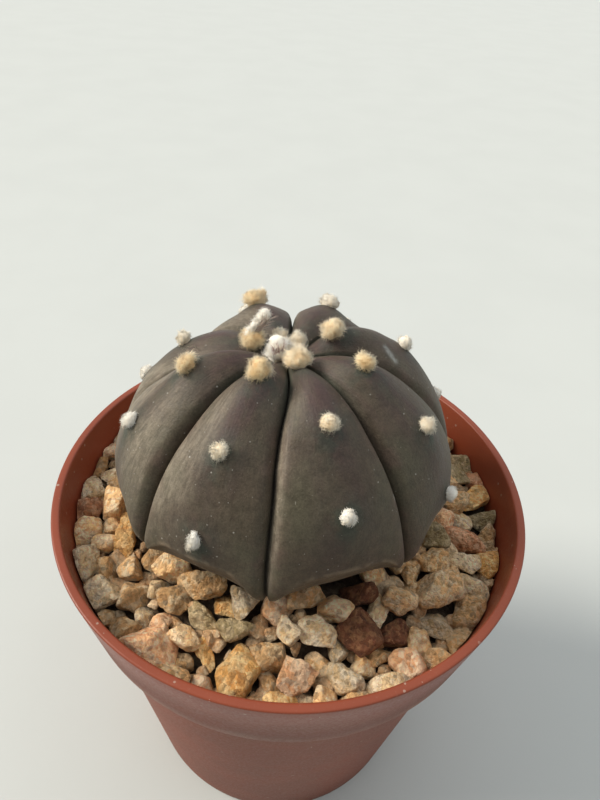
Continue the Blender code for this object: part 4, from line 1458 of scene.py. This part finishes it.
def plastic_material(look):
    """Injection-moulded plastic: clean inside and on the lip, and hazed, dusty and scuffed outside. Painted
    shade darkens the lip and the collar, and the pale band at the collar's foot is partly dust and partly a
    painted highlight.
    """
    material, tree, shader = new_material("pot_plastic", Specular_IOR_Level=0.25)
    place = millimetres(tree)
    outside = stored(tree, "outside")
    height = add(tree, "ShaderNodeSeparateXYZ", {0: place}).outputs[2]
    grain = noise(tree, place, 2.2, 3.0, 0.6)
    dull = [value * 0.82 for value in look.plastic]
    base = mottled(tree, stretched(tree, place, 1.0, 1.0, 2.2), 0.05, look.plastic, dull)
    wall = span(tree, outside, 0.55, 0.95)
    film = noise(tree, stretched(tree, place, 1.0, 1.0, 1.6), 0.09, 4.0, 0.6)
    base = over(tree, base, look.haze, wall, span(tree, film, 0.3, 0.75, 0.45, 0.9))
    # Painted shade: the outside of the collar is darkened above the ledge
    ledge = (POT_HEIGHT - COLLAR_DEPTH) / MM
    collar = span(tree, height, ledge, ledge + 3.0, 0.0, 0.6)
    base = over(tree, base, tinted(tree, base, COLLAR_PAINTED_SHADE), wall, collar)
    # A pale band at the collar's foot: partly dust, partly a painted highlight on its rounded edge
    foot = (
        span(tree, height, ledge - 0.2, ledge + 0.6),
        span(tree, height, ledge + 4.5, ledge + 1.0),
        wall,
        span(tree, noise(tree, place, 0.12), 0.3, 0.6, 0.04, 0.2),
    )
    base = over(tree, base, look.dust, *foot)
    # The lip is darker than the clean plastic: partly rubbed plastic, partly painted shade
    lip = times(tree, span(tree, outside, 0.3, 0.45), span(tree, outside, 0.7, 0.55))
    base = over(tree, base, look.lip, lip, 0.5)
    base = over(tree, base, look.dust, flecks(tree, place, 0.9, 0.22, 0.3), lip, 0.6)
    base = over(tree, base, look.dust, span(tree, grain, 0.55, 0.8, 0.0, 0.09))
    specks = flecks(tree, place, 0.5, 0.14, 0.14)
    scuffs = flecks(tree, stretched(tree, place, 1.0, 1.0, 0.25), 0.35, 0.12, 0.2)
    base = over(tree, base, look.dust, calc(tree, "MAXIMUM", specks, scuffs), 0.35)
    soil = span(tree, height, 70.0, 64.0, 0.0, 0.5)
    base = over(tree, base, SOIL, span(tree, outside, 0.3, 0.05), soil)
    gloss = plus(tree, times(tree, wall, 0.16), span(tree, grain, 0.3, 0.8, 0.3, 0.46))
    wave = noise(tree, stretched(tree, place, 1.0, 1.0, 0.3), 0.35, 2.0, 0.5)
    relief = plus(tree, times(tree, wave, 0.9), times(tree, grain, 0.25))
    rough = bumped(tree, relief, 0.25, 0.2 * MM)
    feed(tree, shader, {"Base Color": base, "Roughness": gloss, "Normal": rough})
    return material


def mix_material():
    """Damp potting mix: dark crumbs with paler fibres and a few bright grains."""
    material, tree, shader = new_material("potting_mix", Roughness=0.95)
    place = millimetres(tree)
    damp = span(tree, noise(tree, place, 0.7), 0.35, 0.65)
    base = blend(tree, damp, (0.035, 0.023, 0.016), (0.075, 0.05, 0.034))
    crumbs = tinted(tree, (0.09, 0.065, 0.045), cells(tree, place, 0.9))
    base = blend(tree, 0.5, base, crumbs)
    base = over(tree, base, (0.42, 0.4, 0.36), flecks(tree, place, 0.8, 0.3, 0.1))
    rough = bumped(tree, cells(tree, place, 0.9, "Distance"), 1.0, 0.8 * MM)
    feed(tree, shader, {"Base Color": base, "Normal": rough})
    return material


# Settings


def shade(name, description, default):
    """A setting for a colour."""
    held = {"subtype": "COLOR", "min": 0.0, "max": 1.0}
    return FloatVectorProperty(name=name, description=description, default=default, **held)


def amount(name, description, default, highest=100.0):
    """A setting for a number that isn't negative."""
    return FloatProperty(name=name, description=description, default=default, min=0.0, max=highest)


def bearing(name, description, degrees):
    """A setting for an angle."""
    return FloatProperty(name=name, description=description, default=math.radians(degrees), subtype="ANGLE")


def length(name, description, default):
    """A setting for a length."""
    return FloatProperty(name=name, description=description, default=default, unit="LENGTH", precision=5)


class SkinLook(bpy.types.PropertyGroup):
    """Sizes and colours of the stem."""

    crease_depth: length("Crease", "How much deeper the groove's narrow bottom is cut", 0.9 * MM)
    unevenness: length("Unevenness", "How far the flanks swell and dip", 0.16 * MM)
    areole_swelling: length("Areole swelling", "How far the rib rises under each areole", 0.5 * MM)
    edge_bead: length("Lower edge", "How far the rib's lower edge stands proud", 0.1 * MM)
    under_cut: length("Undercut", "How far the rib draws in under its lower edge", 0.4 * MM)
    crest_crease: length("Crest crease", "Depth of the crease that crosses one crest", 0.22 * MM)
    brown: shade("Brown", "Dark brown of the flanks", (0.074, 0.057, 0.038))
    olive: shade("Olive", "Olive grey of the flanks", (0.076, 0.067, 0.043))
    purple: shade("Purple", "Purple-brown of the crests and the crown", (0.063, 0.038, 0.034))
    rosy: shade("Rosy shoulder", "Tint of the shoulders beside the grooves", (0.105, 0.068, 0.054))
    green: shade("Green", "Grey-green round the areoles", (0.040, 0.053, 0.040))
    # Laid thickest on the flanks that face the key light, where it is partly a painted highlight
    bloom: shade("Bloom", "Feathery pale wax", (0.245, 0.207, 0.155))
    cork: shade("Cork", "Corky tan of the underside", (0.15, 0.112, 0.066))
    edge: shade("Edge", "Pale line of the lower edge", (0.25, 0.195, 0.13))
    scar: shade("Scar", "Grey-blue of a healed scar", (0.30, 0.31, 0.29))
    speck: shade("Specks", "Pale specks and scratches", (0.50, 0.48, 0.43))


class WoolLook(bpy.types.PropertyGroup):
    """Sizes and colours of the wool."""

    hair_length: length("Hair length", "Mean length of a young hair", 0.95 * MM)
    hair_width: length("Hair width", "Radius of a hair at its root", 0.024 * MM)
    density: amount("Density", "Hairs on a square millimetre", 38.0, 60.0)
    golden: shade("Golden", "Young wool", (0.98, 0.80, 0.50))
    cream: shade("Cream", "Wool between young and old", (0.97, 0.89, 0.72))
    white: shade("White", "Old wool", (0.97, 0.96, 0.91))
    mauve: shade("Mauve", "Dried hairs of the spent buds", (0.30, 0.13, 0.12))


class GritLook(bpy.types.PropertyGroup):
    """Colours and number of the stones."""

    chips: IntProperty(name="Chips", description="Small chips in the gaps", default=420, min=0, max=1500)
    cream: shade("Cream", "Ground of the cream stones", (0.92, 0.63, 0.33))
    granite: shade("Granite", "Ground of the brown granite", (0.75, 0.49, 0.24))
    quartz: shade("Quartz", "Ground of the grey-white stones", (0.80, 0.63, 0.39))
    blush: shade("Blush", "Ground of the pink and cream stones", (0.95, 0.59, 0.33))
    gold: shade("Gold", "Ground of the ochre stones", (0.78, 0.45, 0.15))
    moss: shade("Moss", "Ground of the greenish stones", (0.46, 0.37, 0.20))
    rose: shade("Rose", "Ground of the salmon stones", (0.64, 0.31, 0.165))
    rust: shade("Rust", "Ground of the red-brown stones", (0.28, 0.112, 0.056))


class PotLook(bpy.types.PropertyGroup):
    """Sizes and colours of the pot."""

    sides: IntProperty(name="Sides", description="Steps round the pot", default=288, min=48, max=512)
    lip_round: length("Lip rounding", "Rounding of the lip's two edges", 0.42 * MM)
    plastic: shade("Plastic", "Clean plastic", (0.262, 0.057, 0.025))
    # Darker than the clean plastic: partly rubbed, partly painted shade on the lip
    lip: shade("Lip", "Plastic where the lip is rubbed", (0.215, 0.053, 0.028))
    haze: shade("Haze", "Film of dust and lime on the outside", (0.175, 0.052, 0.027))
    # Also laid as the pale band at the collar's foot, partly a painted highlight
    dust: shade("Dust", "Pale dust in specks and scuffs", (0.40, 0.30, 0.24))


class StageLook(bpy.types.PropertyGroup):
    """Camera, lights and floor."""

    floor: shade("Floor", "Pale floor", (0.49, 0.51, 0.49))
    key_strength: amount("Key", "Strength of the warm key light", 4.05)
    key_azimuth: bearing("Key azimuth", "Where the key light stands", 176)
    key_elevation: bearing("Key elevation", "How high the key light stands", 38)
    key_softness: bearing("Key softness", "How wide the key light looks", 26)
    key_colour: shade("Key colour", "Warm white", (1.0, 0.94, 0.845))
    fill_high: amount("Fill", "Light from overhead and behind", 1.14)
    fill_low: amount("Low fill", "Light from the front and below", 0.1)
    focal: amount("Focal length", "Millimetres, on a 36 mm wide frame", 27.05)


# Operators


class CACTUS_OT_stem(bpy.types.Operator):
    """Makes the ribbed stem, with its skin."""

    bl_idname = "star_cactus.stem"
    bl_label = "Stem"

    def execute(self, context):
        look = context.scene.cactus_skin
        stem = piece("stem", build_stem(look), skin_material(look))
        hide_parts("cactus")
        return {"FINISHED"}


class CACTUS_OT_wool(bpy.types.Operator):
    """Makes the tufts of wool on the areoles, in three pieces from the young ones to the old."""

    bl_idname = "star_cactus.wool"
    bl_label = "Areole wool"

    def execute(self, context):
        look = context.scene.cactus_wool
        material = wool_material(look)
        for name, youngest, oldest, seed in WOOL_AGES:
            fleece = Fleece(seed)
            for rib, spots in enumerate(AREOLES):
                for arc, age, width, stretch in spots:
                    if youngest <= age < oldest:
                        tuft(fleece, look, rib, arc, age, width, stretch)
            piece(name, fleece.mesh(name), material)
        return {"FINISHED"}


class CACTUS_OT_crown(bpy.types.Operator):
    """Makes the wool of the crown and the dried buds that stand in it."""

    bl_idname = "star_cactus.crown"
    bl_label = "Crown wool"

    def execute(self, context):
        look = context.scene.cactus_wool
        material = bpy.data.materials.get("areole_wool") or wool_material(look)
        fleece = Fleece(CROWN_SEED)
        crown = skin(np.zeros(1), np.zeros(1))[0]
        for offset, radius, age in CROWN_LOBES:
            radii = np.array((radius, radius, radius * 0.9)) * MM - 0.3 * look.hair_length
            centre = crown + np.array(offset) * MM
            count = int(24 * radius**2 * look.density / 4)
            fleece.ball(centre, np.eye(3), radii, look, age, count, look.hair_length, 0.5, 0.26)
        self.spent_bud(fleece, look, crown + CROWN_BUD_OFFSET * MM, *CROWN_BUD)
        foot, normal, _, _ = crest_frame(BUD_RIB, BUD_ARC)
        self.spent_bud(fleece, look, foot + normal * BUD_LIFT, *RIB_BUD)
        self.stray_hair(fleece)
        piece("crown_wool", fleece.mesh("crown_wool"), material)
        return {"FINISHED"}

    @staticmethod
    def spent_bud(fleece, look, foot, lean, length, width, dried_side, dried_from):
        """A finger of white wool with a blunt tip, leaning, with dried mauve hairs lying down one side of it
        from a share of its length on."""
        axis = unit(np.array(lean))
        side = unit(np.cross(np.array((0.0, 1.0, 0.0)), axis))
        axes = np.array((side, np.cross(axis, side), axis))
        radius = width / 2 * MM - 0.1 * look.hair_length
        hair = 0.75 * look.hair_length
        for share in np.linspace(0.0, 1.0, 6):
            centre = foot + axis * (length - width) * share * MM + side * 0.25 * MM * share**2
            radii = np.array((radius, radius, radius * 1.15)) * (0.7 + 0.3 * share)
            fleece.ball(centre, axes, radii, look, 0.95, 260, hair, 0.4, 0.24, -1.0)
        turn = dried_side + fleece.draw.uniform(-0.6, 0.6, DRIED_HAIRS)
        out = side * np.cos(turn)[:, None] + axes[1] * np.sin(turn)[:, None]
        along = dried_from + fleece.draw.uniform(0, 0.35, (DRIED_HAIRS, 1))
        roots = foot + out * (width / 2 + 0.02) * MM + axis * along * length * MM
        girth = look.hair_width * 2.4
        fleece.strands(roots, axis + 0.07 * out, 0.36 * length * MM, girth, 1.0, mauve=0.9, bend=0.1)

    @staticmethod
    def stray_hair(fleece):
        """One pale hair that lies on the skin in a bow: its rings follow a smooth curve through four
        points."""
        share = np.linspace(0, len(STRAY_HAIR) - 1, 13)
        knots = np.arange(len(STRAY_HAIR))
        curve = np.stack([np.interp(share, knots, STRAY_HAIR[:, axis]) for axis in range(3)], axis=-1) * MM
        curve[1:-1] = (curve[:-2] + 2 * curve[1:-1] + curve[2:]) / 4
        curve = curve + (POT_HEIGHT + 0.2 * MM) * UP
        ring = circle(1.0, turns(3), 0.0)[:, (2, 0, 1)] * 0.06 * MM
        points = (curve[:, None, :] + ring[None]).reshape(-1, 3)
        last = len(points) - 3
        caps = np.array([(2, 1, 0), (last, last + 1, last + 2)])
        upward = np.tile(UP, (len(points), 1))
        fleece.take(points, ring_faces(len(curve), 3), caps, upward, tip=1.0, shade=1.0, age=1.0)


class CACTUS_OT_grit(bpy.types.Operator):
    """Makes the bed of grit and its stones, one piece for each kind of granite."""

    bl_idname = "star_cactus.grit"
    bl_label = "Granite grit"

    def execute(self, context):
        look = context.scene.cactus_grit
        places = stone_places()
        middles = settled(places)
        reach = stem_reach()
        for kind, values in GRANITES.items():
            stones = build_stones(kind, places, middles, reach)
            material = granite_material(kind, getattr(look, kind), *values)
            piece(f"grit_{kind}", stones, material, GRIT_EDGE)
        mixed = granite_material("chips", *CHIPS_GRANITE)
        piece("grit_chips", build_chips(look, places, middles, reach), mixed, GRIT_EDGE)
        bed = piece("grit_bed", build_bed(), granite_material("bed", *BED_GRANITE_IN_SHADE))
        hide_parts("grit")
        return {"FINISHED"}


class CACTUS_OT_pot(bpy.types.Operator):
    """Makes the plastic pot."""

    bl_idname = "star_cactus.pot"
    bl_label = "Pot"

    def execute(self, context):
        look = context.scene.cactus_pot
        shell = piece("pot_shell", build_pot(look), plastic_material(look), 40)
        cut_drains(shell)
        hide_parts("pot")
        return {"FINISHED"}


class CACTUS_OT_mix(bpy.types.Operator):
    """Gives the potting mix its finish."""

    bl_idname = "star_cactus.mix"
    bl_label = "Potting mix"

    def execute(self, context):
        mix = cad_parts["potting_mix"]
        mix.data.materials.clear()
        mix.data.materials.append(mix_material())
        return {"FINISHED"}


class CACTUS_OT_stage(bpy.types.Operator):
    """Lays the pale floor and sets the lights and the camera."""

    bl_idname = "star_cactus.stage"
    bl_label = "Stage"

    def execute(self, context):
        look = context.scene.cactus_stage
        self.lay_floor(look)
        self.set_key(look)
        self.set_fill(look)
        self.place_camera(look)
        context.scene.view_settings.view_transform = "Standard"
        return {"FINISHED"}

    @staticmethod
    def lay_floor(look):
        """A round floor much wider than the pot, with a faint unevenness."""
        grid = circle(FLOOR_RADII, turns(FLOOR_SIDES)[None, :], 0.0)
        points = np.concatenate([[0 * UP], grid.reshape(-1, 3)])
        mesh = new_mesh("floor", points, ring_faces(2, FLOOR_SIDES, 1), pole_faces(1, FLOOR_SIDES, 0, True))
        floor = stand("floor", mesh)
        material, tree, shader = new_material("pale_floor", Roughness=0.75)
        place = millimetres(tree)
        darker = [value * 0.975 for value in look.floor]
        tone = blend(tree, span(tree, noise(tree, place, 0.02), 0.3, 0.7), look.floor, darker)
        rough = bumped(tree, noise(tree, place, 0.5), 0.08, 0.3 * MM)
        feed(tree, shader, {"Base Color": tone, "Normal": rough})
        mesh.materials.append(material)

    @staticmethod
    def set_key(look):
        """The warm key light, from its azimuth and elevation."""
        key = bpy.data.lights.new("key", "SUN")
        key.energy = look.key_strength
        key.angle = look.key_softness
        key.color = look.key_colour
        across, up = look.key_azimuth, look.key_elevation
        towards = Vector((math.cos(across) * math.cos(up), math.sin(across) * math.cos(up), math.sin(up)))
        lamp = stand("key", key)
        lamp.rotation_euler = towards.to_track_quat("Z", "Y").to_euler()
        lamp.location = towards

    @staticmethod
    def set_fill(look):
        """Fill light that grows towards the softbox's side of the sky, behind a plain pale backdrop."""
        world = bpy.data.worlds.new("studio")
        world.use_nodes = True
        tree = world.node_tree
        tree.nodes.clear()
        seen = add(tree, "ShaderNodeLightPath").outputs["Is Camera Ray"]
        towards = add(tree, "ShaderNodeTexCoord").outputs["Generated"]
        facing = add(tree, "ShaderNodeVectorMath", {0: towards, 1: SOFTBOX_FROM}, operation="DOT_PRODUCT")
        bright = span(tree, facing.outputs["Value"], -0.1, 1.0, look.fill_low, look.fill_high)
        fill = add(tree, "ShaderNodeBackground", {"Color": (0.95, 0.98, 1.0, 1.0), "Strength": bright})
        backdrop = add(tree, "ShaderNodeBackground", {"Color": (0.66, 0.66, 0.63, 1.0), "Strength": 1.0})
        either = add(tree, "ShaderNodeMixShader", {0: seen, 1: fill.outputs[0], 2: backdrop.outputs[0]})
        add(tree, "ShaderNodeOutputWorld", {"Surface": either.outputs[0]})
        bpy.context.scene.world = world

    @staticmethod
    def place_camera(look):
        """The camera looks down at the plant from the front, turned a little about its own line of sight."""
        down, roll = math.radians(CAMERA_DOWN), math.radians(CAMERA_ROLL)
        forward = Vector((0.0, math.cos(down), -math.sin(down)))
        across = Vector((1.0, 0.0, 0.0))
        above = Vector((0.0, math.sin(down), math.cos(down)))
        right = math.cos(roll) * across + math.sin(roll) * above
        top = -math.sin(roll) * across + math.cos(roll) * above
        lens = bpy.data.cameras.new("camera")
        lens.lens = look.focal
        lens.sensor_width = 36.0
        lens.clip_start = 0.005
        lens.clip_end = 50.0
        eye = stand("camera", lens)
        turned = Matrix((right, top, -forward)).transposed().to_4x4()
        eye.matrix_world = Matrix.Translation(CAMERA_PLACE) @ turned
        bpy.context.scene.camera = eye


SETTINGS = {
    "cactus_skin": SkinLook,
    "cactus_wool": WoolLook,
    "cactus_grit": GritLook,
    "cactus_pot": PotLook,
    "cactus_stage": StageLook,
}
OPERATORS = (
    CACTUS_OT_pot,
    CACTUS_OT_mix,
    CACTUS_OT_grit,
    CACTUS_OT_stem,
    CACTUS_OT_wool,
    CACTUS_OT_crown,
    CACTUS_OT_stage,
)


class CACTUS_PT_sidebar(bpy.types.Panel):
    """Lists the pieces and their sizes and colours."""

    bl_idname = "CACTUS_PT_sidebar"
    bl_label = "Star Cactus"
    bl_space_type = "VIEW_3D"
    bl_region_type = "UI"
    bl_category = "Star Cactus"

    def draw(self, context):
        for operator in OPERATORS:
            self.layout.operator(operator.bl_idname)
        for name, kind in SETTINGS.items():
            box = self.layout.box()
            box.label(text=kind.__doc__)
            for value in kind.__annotations__:
                box.prop(getattr(context.scene, name), value)


def register():
    """Makes the settings, the operators and the panel known."""
    for kind in (*SETTINGS.values(), *OPERATORS, CACTUS_PT_sidebar):
        bpy.utils.register_class(kind)
    for name, kind in SETTINGS.items():
        setattr(bpy.types.Scene, name, PointerProperty(type=kind))


def unregister():
    """Takes them away again."""
    for name in SETTINGS:
        delattr(bpy.types.Scene, name)
    for kind in reversed((*SETTINGS.values(), *OPERATORS, CACTUS_PT_sidebar)):
        bpy.utils.unregister_class(kind)


def main():
    """Builds every piece and the stage."""
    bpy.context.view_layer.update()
    register()
    bpy.ops.star_cactus.pot()
    bpy.ops.star_cactus.mix()
    bpy.ops.star_cactus.grit()
    bpy.ops.star_cactus.stem()
    bpy.ops.star_cactus.wool()
    bpy.ops.star_cactus.crown()
    bpy.ops.star_cactus.stage()


if __name__ == "__main__":
    main()
